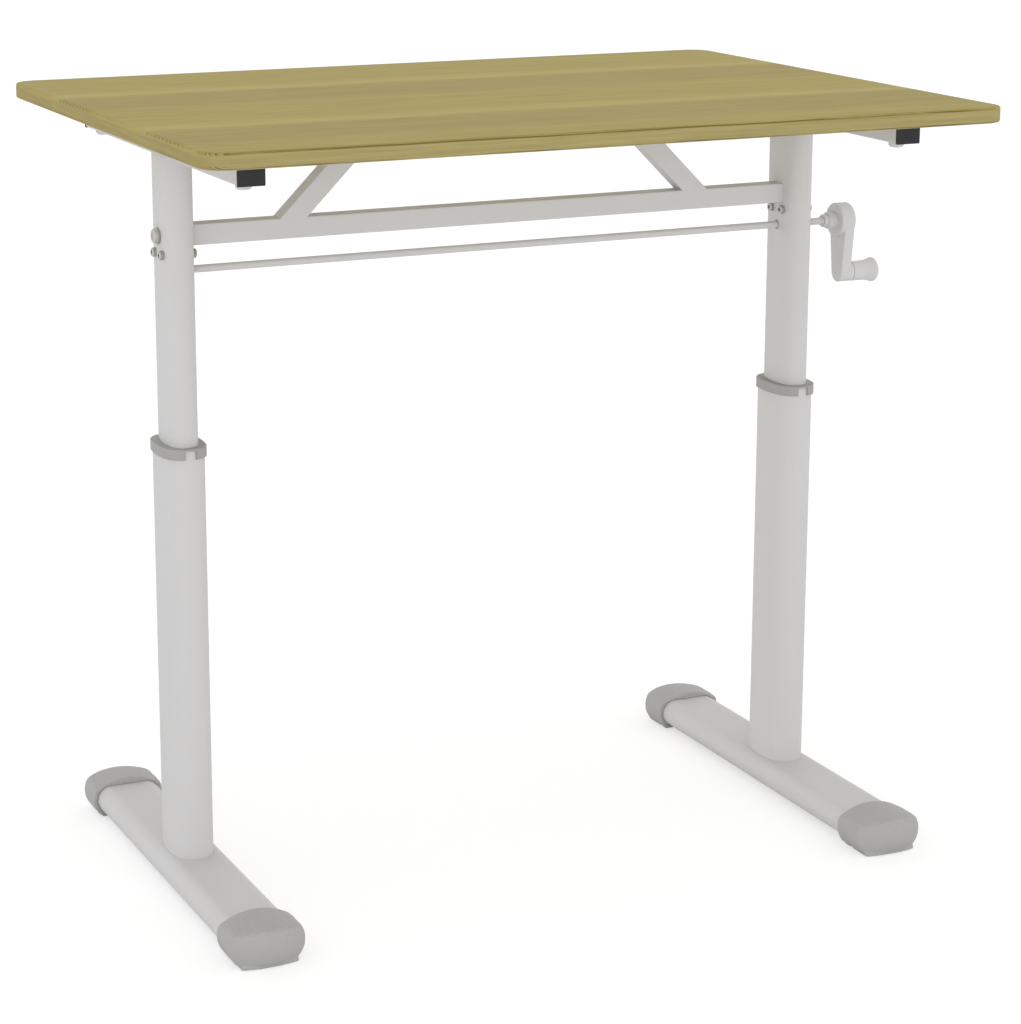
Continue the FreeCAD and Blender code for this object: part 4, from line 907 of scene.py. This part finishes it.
    def combine(self, tool: "Bench", way: Change) -> "Bench":
        """Join another piece's shape to this one or cut it out, which uses that piece up.

        Args:
            tool: The bench of the other piece.
            way: Whether the shape is joined or cut out.

        Returns:
            The bench.
        """
        other, mesh = tool.piece, tool.piece.data
        self.apply("BOOLEAN", operation=way.value, solver="EXACT", object=other)
        bpy.data.objects.remove(other)
        bpy.data.meshes.remove(mesh)
        return self

    def soften(self, grain: float, rounds: int) -> "Bench":
        """Lay a skin of even faces over the piece, and ease it a number of times."""
        self.apply("REMESH", mode="VOXEL", voxel_size=grain)
        return self.apply("SMOOTH", factor=0.5, iterations=rounds)

    def done(self, sharp: float = 35.0) -> bpy.types.Object:
        """Close the mesh and smooth it.

        Args:
            sharp: Angle in degrees above which an edge stays sharp.

        Returns:
            The finished piece.
        """
        self.pick(Pick.POINTS, everything)
        bpy.ops.mesh.remove_doubles(threshold=SAME)
        bpy.ops.mesh.normals_make_consistent(inside=False)
        bpy.ops.object.mode_set(mode="OBJECT")
        bpy.ops.object.shade_smooth_by_angle(angle=math.radians(sharp))
        return self.apply("WEIGHTED_NORMAL", keep_sharp=True).piece


def copy_of(piece: bpy.types.Object, name: str, offset: Point) -> bpy.types.Object:
    """Copy a finished piece to another place, with a mesh of its own.

    Args:
        piece: The piece.
        name: The copy's name.
        offset: How far the copy is moved.

    Returns:
        The copy.
    """
    take_up(piece)
    bpy.ops.object.duplicate(linked=False)
    bpy.ops.transform.translate(value=Vector(offset))
    return Bench(name).piece


@dataclass
class SubAssembly:
    """What the desk's sub-assemblies share: a wardrobe, and ways to fit pieces and keep parts."""

    wardrobe: Wardrobe

    def fit(self, piece: bpy.types.Object, body: str, finish: Finish, *nodes: str) -> None:
        """Dress a new piece, put it on its body and let it stand for its parts.

        Args:
            piece: The piece.
            body: The body that it rides on.
            finish: Its finish.
            nodes: The parts that it stands for.
        """
        self.wardrobe.dress(piece, finish)
        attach(piece, body)
        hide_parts(*nodes)
        log.info("%s: new piece on %s, %s", piece.name, body, finish.slot)

    def keep(self, finish: Finish, *nodes: str) -> None:
        """Dress parts that keep their own shapes.

        Args:
            finish: Their finish.
            nodes: Their names.
        """
        for node in nodes:
            self.wardrobe.dress(frame["nodes"][node], finish)
            log.info("%s: kept, %s", node, finish.slot)

    def keep_pairs(self, finish: Finish, *parts: str) -> None:
        """Dress the left and the right part of each name, which keep their own shapes."""
        self.keep(finish, *(f"{side.word}_{part}" for part in parts for side in Side))


@dataclass
class Tabletop(SubAssembly):
    """The board."""

    corner: float = BOARD_CORNER
    edge: float = 0.0022

    def build(self) -> None:
        """Model the board from a block: round corners, then eased edges all round."""
        low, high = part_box("tabletop")
        bench = Bench.block("board", low, high)
        bench.pick(Pick.EDGES, along(Axis.Z)).bevel(self.corner, steps=18)
        rims = [around(Axis.Z, level) for level in (low.z, high.z)]
        bench.pick(Pick.EDGES, lambda middle, way: any(rim(middle, way) for rim in rims))
        bench.bevel(self.edge, steps=6)
        self.fit(bench.done(), "lift_frame", Finish.BOARD_WOOD, "tabletop")


@dataclass
class SideRails(SubAssembly):
    """The two square rails under the board, their end plugs and their screws."""

    wall: float = 0.0015
    corner: float = 0.0022
    mouth: float = 0.03
    flange: float = 0.0025
    overhang: float = 0.0008
    plug_corner: float = 0.0008
    plug_edge: float = 0.0005
    dish_rim: float = 0.003
    dish_depth: float = 0.0003
    stem_step: float = 0.0022
    stem_taper: float = 0.96
    disc_radius: float = 0.0076
    disc_height: float = 0.0056
    disc_edge: float = 0.0032
    recess_rim: float = 0.0014
    recess_depth: float = 0.0018
    recess_step: float = 0.0006
    shank_radius: float = 0.0025

    def build(self) -> None:
        """Model the rails with their plugs, and the screws."""
        for side in Side:
            self.build_rail(f"{side.word}_side_rail")
            for end in End:
                self.build_plug(f"{side.word}_{end.word}_rail_plug", end)
        self.build_screws()

    def build_rail(self, node: str) -> None:
        """Model a square tube with rounded corners, open at both ends.

        Args:
            node: The part that it stands for.
        """
        low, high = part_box(node)
        bench = Bench.block(f"{node}_tube", low, high)
        bench.pick(Pick.EDGES, along(Axis.Y)).bevel(self.corner, steps=5)
        for end, place in ((End.FRONT, low.y), (End.REAR, high.y)):
            bench.pick(Pick.FACES, facing(Axis.Y, end.value, place)).inset(self.wall)
            bench.extrude((0, -end.value * self.mouth, 0))
        self.fit(bench.done(), "lift_frame", Finish.LIGHT_PAINT, node)

    def build_plug(self, node: str, end: End) -> None:
        """Model an end plug: a flange with soft edges and a dished face, and a tapered stem.

        Args:
            node: The part that it stands for.
            end: The end of the rail that it closes.
        """
        low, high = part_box(node)
        low.x, high.x = low.x - self.overhang, high.x + self.overhang
        low.z -= self.overhang
        out = end.value
        face, back = (high.y, low.y) if out > 0 else (low.y, high.y)
        seat = face - out * self.flange
        low.y, high.y = min(face, seat), max(face, seat)
        bench = Bench.block(f"{node}_cap", low, high)
        bench.pick(Pick.EDGES, along(Axis.Y)).bevel(self.plug_corner, steps=4)
        bench.pick(Pick.EDGES, around(Axis.Y, face)).bevel(self.plug_edge, steps=3)
        centre = (low + high) / 2
        centre.y = face
        half = (high.x - low.x) / 2
        bench.pick(Pick.FACES, facing(Axis.Y, out, face))
        bench.grow(half - self.plug_edge, half - self.dish_rim, centre)
        bench.move((0, -out * self.dish_depth, 0))
        centre.y = seat
        bench.pick(Pick.FACES, facing(Axis.Y, -out, seat))
        bench.grow(half, half - self.stem_step, centre).extrude((0, back - seat, 0))
        bench.resize((self.stem_taper, 1, self.stem_taper), centre)
        self.fit(bench.done(), "lift_frame", Finish.BLACK_PLASTIC, node)

    def build_screws(self) -> None:
        """Model one broad-headed screw with a round drive recess, and copy it to the other spots."""
        low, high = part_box("rail_screws")
        spot = Vector((low.x + self.disc_radius, low.y + self.disc_radius, low.z))
        top = spot + Vector((0, 0, self.disc_height))
        bench = Bench.drum("left_front_rail_screw", self.disc_radius, spot, top)
        bench.pick(Pick.EDGES, around(Axis.Z, spot.z)).bevel(self.disc_edge, steps=8)
        bench.pick(Pick.FACES, facing(Axis.Z, -1, spot.z)).inset(self.recess_rim)
        bench.extrude((0, 0, self.recess_depth)).inset(self.recess_step)
        bench.pick(Pick.FACES, facing(Axis.Z, 1, top.z))
        bench.inset(self.disc_radius - self.shank_radius).extrude((0, 0, high.z - top.z))
        first = bench.done()
        apart = high - low - 2 * Vector((self.disc_radius, self.disc_radius, 0))
        for side in Side:
            for end in End:
                name = f"{side.word}_{end.word}_rail_screw"
                offset = (apart.x * (side is Side.RIGHT), apart.y * (end is End.REAR), 0)
                screw = copy_of(first, name, offset) if name != first.name else first
                self.fit(screw, "lift_frame", Finish.LIGHT_PLASTIC, "rail_screws")


@dataclass(frozen=True)
class KeyScrew:
    """A screw along X with a six-sided key socket: a flange with a rounded cap on it, and a shank.

    The head's upright faces further out than the radius dark, and those deep in the socket, get a
    painted shade: a darker steel that stands in for the shade in the socket and round the head's side.
    """

    radius: float
    height: float
    edge: float
    cap: float
    cap_height: float
    socket: float
    depth: float
    shank: float
    length: float
    dark: float
    flange_edge: float = 0.0004
    overcut: float = 0.001
    deep: float = 0.001
    upright: float = 0.3

    def model(self, name: str, seat: Vector, out: int) -> bpy.types.Object:
        """Model the screw.

        Args:
            name: The piece's name.
            seat: Middle of the face that the head sits on.
            out: The way along X that the head points.

        Returns:
            The screw.
        """
        step = seat + Vector((out * (self.height - self.cap_height), 0, 0))
        face = seat + Vector((out * self.height, 0, 0))
        bench = Bench.drum(name, self.radius, seat, step)
        bench.pick(Pick.FACES, facing(Axis.X, out, step.x))
        bench.grow(self.radius, self.cap, step).extrude((out * self.cap_height, 0, 0))
        bench.pick(Pick.EDGES, around(Axis.X, face.x)).bevel(self.edge, steps=5)
        bench.pick(Pick.EDGES, circle(seat, step.x, self.radius)).bevel(self.flange_edge, steps=3)
        bench.pick(Pick.FACES, facing(Axis.X, -out, seat.x))
        bench.inset(self.radius - self.shank).extrude((-out * self.length, 0, 0))
        bottom = face - Vector((out * self.depth, 0, 0))
        mouth = face + Vector((out * self.overcut, 0, 0))
        bench.combine(Bench.drum("key_socket", self.socket, bottom, mouth, sides=6), Change.CUT)
        return bench.done(sharp=25.0)

    def darkened(self, seat: Vector, out: int) -> Test:
        """Pick the faces that get painted shade.

        Args:
            seat: Middle of the face that the head sits on.
            out: The way along X that the head points.

        Returns:
            The test for those faces.
        """
        # Painted shade: faces deep in the socket and on the head's upright side are darker, where shade
        # falls.
        floor = seat.x + out * (self.height - self.deep)

        def dark(middle: Vector, way: Vector) -> bool:
            """Tell whether a face lies deep in the socket or on the side of the head.

            Args:
                middle: The face's middle.
                way: Its normal.

            Returns:
                Whether it does.
            """
            away = reach(middle, seat)
            in_socket = away < self.socket and (floor - middle.x) * out > 0
            return in_socket or (away > self.dark and abs(way.x) < self.upright)

        return dark


@dataclass
class CrossBeam(SubAssembly):
    """The beam, its two braces, and the key screws on the columns."""

    corner: float = 0.0014
    wall: float = 0.0012
    cope: float = 0.0015
    mouth: float = 0.003
    bolt: KeyScrew = KeyScrew(
        radius=0.0078, height=0.0055, edge=0.0014, cap=0.0068, cap_height=0.0032,
        socket=0.0036, depth=0.0007, shank=0.004, length=0.048, dark=0.0072,
    )
    gearbox_screw: KeyScrew = KeyScrew(
        radius=0.0046, height=0.0035, edge=0.0013, cap=0.0044, cap_height=0.0027,
        socket=0.0022, depth=0.003, shank=0.0025, length=0.0086, dark=0.0035,
    )

    def build(self) -> None:
        """Model the beam, the braces and the screws, and dress the rest."""
        low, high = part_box("cross_beam")
        low.x, high.x = low.x - self.cope, high.x + self.cope
        bench = Bench.block("cross_beam_tube", low, high)
        bench.pick(Pick.EDGES, along(Axis.X)).bevel(self.corner, steps=4)
        for side, place in ((Side.LEFT, low.x), (Side.RIGHT, high.x)):
            bench.pick(Pick.FACES, facing(Axis.X, side.value, place)).inset(self.wall)
            bench.extrude((-side.value * self.mouth, 0, 0))
        self.fit(bench.done(), "lift_frame", Finish.LIGHT_PAINT, "cross_beam")
        for side in Side:
            self.build_brace(side)
        self.build_bolts()
        self.build_gearbox_screws()
        self.keep_pairs(Finish.LIGHT_PAINT, "brace_plate")
        self.keep(Finish.ZINC_STEEL, "brace_screws", "beam_inserts")

    def build_brace(self, side: Side) -> None:
        """Model a leaning square tube, cut level at both ends.

        Args:
            side: The side that its foot is on.
        """
        node = f"{side.word}_brace"
        low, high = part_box(node)
        rise = high.z - low.z
        low.x, high.x = (low.x, high.x - rise) if side is Side.LEFT else (low.x + rise, high.x)
        bench = Bench.block(f"{node}_tube", low, high)
        bench.pick(Pick.FACES, facing(Axis.Z, 1, high.z)).move((-side.value * rise, 0, 0))
        bench.pick(Pick.FACES, facing(Axis.Z, -1, low.z))
        bench.move((side.value * self.corner, 0, -self.corner))
        bench.pick(Pick.EDGES, along(Axis.Z)).bevel(self.corner, steps=4)
        self.fit(bench.done(), "lift_frame", Finish.LIGHT_PAINT, node)

    def fit_screw(self, kind: KeyScrew, name: str, seat: Vector, out: int, node: str) -> None:
        """Model a key screw and fit it, with its faces of painted shade.

        Args:
            kind: The screw.
            name: The piece's name.
            seat: Middle of the face that the head sits on.
            out: The way along X that the head points.
            node: The part that it stands for.
        """
        screw = kind.model(name, seat, out)
        self.fit(screw, "lift_frame", Finish.ZINC_STEEL, node)
        # Painted shade in the socket and round the head's side.
        self.wardrobe.trim(screw, Finish.DARK_STEEL, kind.darkened(seat, out))

    def build_bolts(self) -> None:
        """Model the two large bolts that hold the beam, one on each column's outer face."""
        node = "beam_bolts"
        low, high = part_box(node)
        middle = (low + high) / 2
        for side, face in ((Side.LEFT, low.x), (Side.RIGHT, high.x)):
            seat = Vector((face - side.value * self.bolt.height, middle.y, middle.z))
            self.fit_screw(self.bolt, f"{side.word}_beam_bolt", seat, side.value, node)

    def build_gearbox_screws(self) -> None:
        """Model the small key screws, two on each face of each column."""
        node = "gearbox_screws"
        low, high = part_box(node)
        level = (low.z + high.z) / 2
        radius = self.gearbox_screw.radius
        rows = {End.FRONT: low.y + radius, End.REAR: high.y - radius}
        for side in Side:
            column_low, column_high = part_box(f"{side.word}_upper_column")
            for face, wall in ((Side.LEFT, column_low.x), (Side.RIGHT, column_high.x)):
                for end, y in rows.items():
                    name = f"{side.word}_column_{face.word}_{end.word}_screw"
                    seat = Vector((wall, y, level))
                    self.fit_screw(self.gearbox_screw, name, seat, face.value, node)


@dataclass
class Columns(SubAssembly):
    """The two telescopic legs above the feet."""

    saddle: float = 0.007
    clearance: float = 0.0002
    saddle_share: float = 0.97

    def build(self) -> None:
        """Model the column heads, and dress the tubes and collars."""
        for side in Side:
            self.build_head(side)
        self.keep_pairs(Finish.LIGHT_PAINT, "upper_column", "lower_column")
        # The collars take the darker copy of the grey plastic, which paints in shade.
        self.keep_pairs(Finish.COLLAR_PLASTIC, "guide_collar")
        self.keep_pairs(Finish.GREY_PLASTIC, "column_glide")
        self.keep(Finish.ZINC_STEEL, "head_plate_screws")

    def build_head(self, side: Side) -> None:
        """Model the plate on a column's top as a saddle that runs up the sides of the rail.

        Args:
            side: The column's side.
        """
        node = f"{side.word}_head_plate"
        low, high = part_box(node)
        rail_low, rail_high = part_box(f"{side.word}_side_rail")
        bench = Bench.copy(f"{node}_saddle", node)
        bench.pick(Pick.FACES, facing(Axis.Z, 1, high.z, ROUND)).extrude((0, 0, self.saddle))
        share = (rail_high.x - rail_low.x + self.clearance) / (high.x - low.x)
        bench.resize((share, self.saddle_share, 1), (low + high) / 2)
        self.fit(bench.done(), "lift_frame", Finish.LIGHT_PAINT, node)


@dataclass
class Feet(SubAssembly):
    """The foot bars, their shoes and the floor pads."""

    grain: float = 0.0008
    soften: int = 7
    pad_lap: float = 0.0008
    nose_share: float = 0.3
    nose_soften: int = 36
    sole: float = 0.012

    def build(self) -> None:
        """Model the shoes with the pads under them, and dress the rest."""
        self.keep_pairs(Finish.LIGHT_PAINT, "foot_bar")
        self.keep_pairs(Finish.ZINC_STEEL, "base_plate", "foot_bolts")
        for side in Side:
            pads = f"{side.word}_floor_pads"
            # Both shoes are shaped before one is fitted, because that hides the pads they copy.
            for shoe, moulding in [self.shape_shoe(side, end, pads) for end in End]:
                self.fit(moulding, "base", Finish.GREY_PLASTIC, shoe, pads)

    def shape_shoe(self, side: Side, end: End, pads: str) -> tuple[str, bpy.types.Object]:
        """Model a shoe that flows into its toe and heel pads, with every edge moulded soft.

        Args:
            side: The foot's side.
            end: The end of the foot.
            pads: The part with the pads of the whole foot.

        Returns:
            The shoe's part, and the piece.
        """
        shoe = f"{side.word}_{end.word}_shoe"
        bench = Bench.copy(f"{shoe}_moulding", shoe)
        under = Bench.copy(f"{shoe}_pads", pads)
        under.pick(Pick.FACES, lambda middle, way: middle.y * end.value < 0).remove()
        pad_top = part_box(pads)[1].z - SAME
        under.pick(Pick.POINTS, lambda middle, way: middle.z > pad_top).move((0, 0, self.pad_lap))
        bench.combine(under, Change.JOIN).soften(self.grain, self.soften)
        low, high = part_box(shoe)
        mouth = low.y if end is End.REAR else high.y
        nose = mouth + end.value * self.nose_share * (high.y - low.y)
        bench.pick(
            Pick.POINTS,
            lambda middle, way: (middle.y - nose) * end.value > 0 and middle.z > low.z + self.sole,
        )
        return shoe, bench.ease(self.nose_soften).done()


@dataclass
class Mechanism(SubAssembly):
    """The gearboxes, lead screws and nuts inside the legs."""

    def build(self) -> None:
        """Dress what the legs hide, which keeps its shape."""
        self.keep_pairs(Finish.HOUSING_ALLOY, "gearbox_housing")
        self.keep_pairs(Finish.ZINC_STEEL, "lead_screw", "screw_gear", "pinion", "nut_post")
        self.keep_pairs(Finish.BUSH_BRONZE, "screw_nut")
        self.keep(Finish.BUSH_BRONZE, "shaft_bushes", "screw_bushes")


@dataclass
class Crank(SubAssembly):
    """The cross shaft, the crank on its right end, and the crank's knob."""

    neck_radius: float = 0.0042
    neck_length: float = 0.003
    step_radius: float = 0.0067
    step_length: float = 0.005
    boss_radius: float = 0.0086
    boss_length: float = 0.0094
    boss_edge: float = 0.0006
    hub_radius: float = 0.0177
    hub_length: float = 0.0166
    hub_edge: float = 0.0022
    arm_root: float = 0.0162
    arm_tip: float = 0.0101
    arm_inset: float = 0.0048
    arm_thickness: float = 0.0113
    arm_edge: float = 0.0009
    arm_slack: float = 0.00001
    tip_boss: float = 0.005
    tip_lap: float = 0.002
    throw: float = 0.0555
    joint_edge: float = 0.0003
    knob_radius: float = 0.0103
    flare_radius: float = 0.0128
    flare_length: float = 0.0122
    flare_steps: int = 9
    flare_power: float = 1.8
    knob_end: float = 0.0042
    knob_round: float = 0.98

    def build(self) -> None:
        """Model the crank and its knob, and dress the rest."""
        low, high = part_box("drive_shaft")
        axis = (low + high) / 2
        axis.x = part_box("crank_arm")[0].x
        self.build_arm(axis)
        self.build_knob(axis)
        self.keep(Finish.LIGHT_PAINT, "drive_shaft")
        self.keep(Finish.ZINC_STEEL, "crank_pin", "crank_grub_screw")

    def build_arm(self, axis: Vector) -> None:
        """Model the stepped boss and hub, the tapered arm and the knob's seat, and join them.

        Args:
            axis: Where the crank's inner end meets the shaft's axis.
        """
        steps = [
            (self.step_radius, self.step_length),
            (self.boss_radius, self.boss_length),
            (self.hub_radius, self.hub_length),
        ]
        radius = self.neck_radius
        face = axis + Vector((self.neck_length, 0, 0))
        bench = Bench.drum("crank", radius, axis, face, sides=64)
        rims = []
        for next_radius, length in steps:
            bench.pick(Pick.FACES, facing(Axis.X, 1, face.x))
            bench.grow(radius, next_radius, face).extrude((length, 0, 0))
            rims.append((face.x, next_radius))
            radius, face = next_radius, face + Vector((length, 0, 0))
            rims.append((face.x, radius))
        *small, hub_start, hub_end = rims
        edges = [(hub_end, self.hub_edge), (hub_start, self.hub_edge)]
        edges += [(rim, self.boss_edge) for rim in small]
        for rim, width in edges:
            bench.pick(Pick.EDGES, circle(axis, *rim)).bevel(width, steps=5)
        blank = self.arm_blank(axis, face.x - self.hub_length + self.arm_inset)
        bench.combine(blank, Change.JOIN)
        self.fit(bench.done(sharp=28.0), "drive", Finish.LIGHT_PLASTIC, "crank_arm")

    def arm_blank(self, axis: Vector, start: float) -> Bench:
        """Model the arm from a round blank whose lower half is drawn down and in to the tip.

        Args:
            axis: A point of the shaft's axis.
            start: Where the arm's inner face lies along X.

        Returns:
            The arm on a bench of its own.
        """
        inner = Vector((start, axis.y, axis.z))
        outer = inner + Vector((self.arm_thickness, 0, 0))
        bench = Bench.drum("crank_blank", self.arm_root, inner, outer, sides=72)
        lean = math.asin((self.arm_root - self.arm_tip) / self.throw)
        shoulder = axis.z - self.arm_root * math.sin(lean) - self.arm_slack
        share = self.arm_tip / self.arm_root
        bench.pick(Pick.POINTS, lambda middle, way: middle.z < shoulder)
        bench.resize((1, share, share), axis).move((0, 0, -self.throw))
        bench.pick(Pick.EDGES, lambda middle, way: abs(way.x) < ACROSS).bevel(self.arm_edge, steps=3)
        tip = Vector((outer.x - self.tip_lap, axis.y, axis.z - self.throw))
        seat = Vector((outer.x + self.tip_boss, tip.y, tip.z))
        boss = Bench.drum("crank_seat", self.arm_tip, tip, seat, sides=64)
        boss.pick(Pick.EDGES, around(Axis.X, seat.x)).bevel(self.joint_edge, steps=3)
        return bench.combine(boss, Change.JOIN)

    def build_knob(self, axis: Vector) -> None:
        """Model the knob: a straight grip that flares to a round end.

        Args:
            axis: A point of the shaft's axis.
        """
        low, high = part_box("crank_knob")
        start = Vector((low.x, axis.y, axis.z - self.throw))
        flare_end = high.x - self.knob_end
        face = Vector((flare_end - self.flare_length, start.y, start.z))
        bench = Bench.drum("crank_grip", self.knob_radius, start, face, sides=64)
        radius = self.knob_radius
        stride = Vector((self.flare_length / self.flare_steps, 0, 0))
        for step in range(1, self.flare_steps + 1):
            share = (step / self.flare_steps) ** self.flare_power
            next_radius = self.knob_radius + (self.flare_radius - self.knob_radius) * share
            bench.pick(Pick.FACES, facing(Axis.X, 1, face.x)).extrude(stride)
            face = face + stride
            bench.resize((1, next_radius / radius, next_radius / radius), face)
            radius = next_radius
        bench.pick(Pick.FACES, facing(Axis.X, 1, face.x)).extrude((self.knob_end, 0, 0))
        bench.pick(Pick.EDGES, around(Axis.X, high.x)).bevel(self.knob_end * self.knob_round, steps=8)
        bench.pick(Pick.EDGES, around(Axis.X, low.x)).bevel(self.joint_edge, steps=3)
        self.fit(bench.done(sharp=40.0), "knob", Finish.LIGHT_PLASTIC, "crank_knob")


@dataclass
class Studio:
    """The floor, the light and the camera."""

    camera_at: Point = (-1.16335, -2.50516, 1.0779)
    camera_yaw: float = -24.38
    camera_pitch: float = 13.39
    camera_range: float = 200.0
    lens: float = 99.115
    sensor: float = 36.0
    shift: Point = (0.0440, -0.0802)
    sky: float = 0.88
    ring: float = 1.75
    ring_height: float = 0.25
    front_power: float = 8.5
    front_at: Point = (-1.5, -3.1, 0.75)
    front_aim: Point = (0.0, 0.0, 0.45)
    front_size: float = 2.6
    floor_size: float = 80.0
    floor_drop: float = 0.0004
    floor_lit: float = 0.88
    floor_shown: float = 0.52
    floor_glow: float = 0.58

    def build(self) -> None:
        """Set up the stage."""
        self.build_world()
        self.build_floor()
        self.build_lamp()
        self.build_camera()
        bpy.context.scene.view_settings.view_transform = "Standard"

    def build_world(self) -> None:
        """Light the desk from all round, most from near the horizon, before a white background."""
        recipe = Recipe(bpy.data.worlds.new("studio"))
        paths = recipe.node("ShaderNodeLightPath").socket.node.outputs
        kinds = ("Is Camera Ray", "Is Glossy Ray", "Is Transmission Ray")
        camera, glossy, through = (Wire(recipe, paths[kind]) for kind in kinds)
        height = recipe.split(recipe.node("ShaderNodeTexCoord", output="Generated"))[Axis.Z]
        light = self.sky + height.size().fade(0.0, self.ring_height) * self.ring
        ambient, white = (
            recipe.node("ShaderNodeBackground", {}, {"Color": grey(1.0), "Strength": strength})
            for strength in (light, 1.0)
        )
        seen = camera + glossy + through
        shown = recipe.node("ShaderNodeMixShader", {}, {0: seen, 1: ambient, 2: white})
        bpy.context.scene.world = recipe.close(shown, "ShaderNodeOutputWorld")

    def build_floor(self) -> None:
        """Lay a white floor that keeps a faint shadow."""
        put_down()
        bpy.ops.mesh.primitive_plane_add(size=self.floor_size, location=(0, 0, -self.floor_drop))
        floor = bpy.context.object
        floor.name = "floor"
        recipe = Recipe.named("floor_white")
        lit, shown = (
            recipe.node("ShaderNodeBsdfDiffuse", {}, {"Color": grey(level)})
            for level in (self.floor_lit, self.floor_shown)
        )
        glow = recipe.node("ShaderNodeEmission", {}, {"Strength": self.floor_glow})
        both = recipe.node("ShaderNodeAddShader", {}, {0: shown, 1: glow})
        seen = recipe.node("ShaderNodeLightPath", output="Is Camera Ray")
        mixed = recipe.node("ShaderNodeMixShader", {}, {0: seen, 1: lit, 2: both})
        floor.data.materials.append(recipe.close(mixed))

    @staticmethod
    def stand(data: bpy.types.Light | bpy.types.Camera, place: Point) -> bpy.types.Object:
        """Stand a lamp or a camera in the scene.

        Args:
            data: The lamp or camera.
            place: Where it stands.

        Returns:
            Its object.
        """
        thing = bpy.data.objects.new(data.name, data)
        bpy.context.scene.collection.objects.link(thing)
        thing.location = place
        return thing

    def build_lamp(self) -> None:
        """Stand one large soft lamp low at the front left, which also reaches under the board."""
        lamp = bpy.data.lights.new("front", "AREA")
        lamp.shape = "DISK"
        lamp.size = self.front_size
        lamp.energy = self.front_power
        front = self.stand(lamp, self.front_at)
        aim = Vector(self.front_aim) - front.location
        front.rotation_euler = aim.to_track_quat("-Z", "Y").to_euler()

    def build_camera(self) -> None:
        """Put the camera where the desk is seen from its front left, a little from above."""
        data = bpy.data.cameras.new("camera")
        data.lens = self.lens
        data.sensor_width = self.sensor
        data.shift_x, data.shift_y = self.shift
        data.clip_end = self.camera_range
        camera = self.stand(data, self.camera_at)
        pitch, yaw = math.radians(90 - self.camera_pitch), math.radians(self.camera_yaw)
        camera.rotation_euler = (pitch, 0.0, yaw)
        bpy.context.scene.camera = camera


def main() -> None:
    """Build the desk's looks, one sub-assembly after another."""
    logging.basicConfig(level=logging.INFO, format="%(message)s")
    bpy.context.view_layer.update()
    wardrobe = Wardrobe()
    for kind in (Tabletop, SideRails, CrossBeam, Columns, Feet, Mechanism, Crank):
        kind(wardrobe).build()
    Studio().build()


if __name__ == "__main__":
    main()
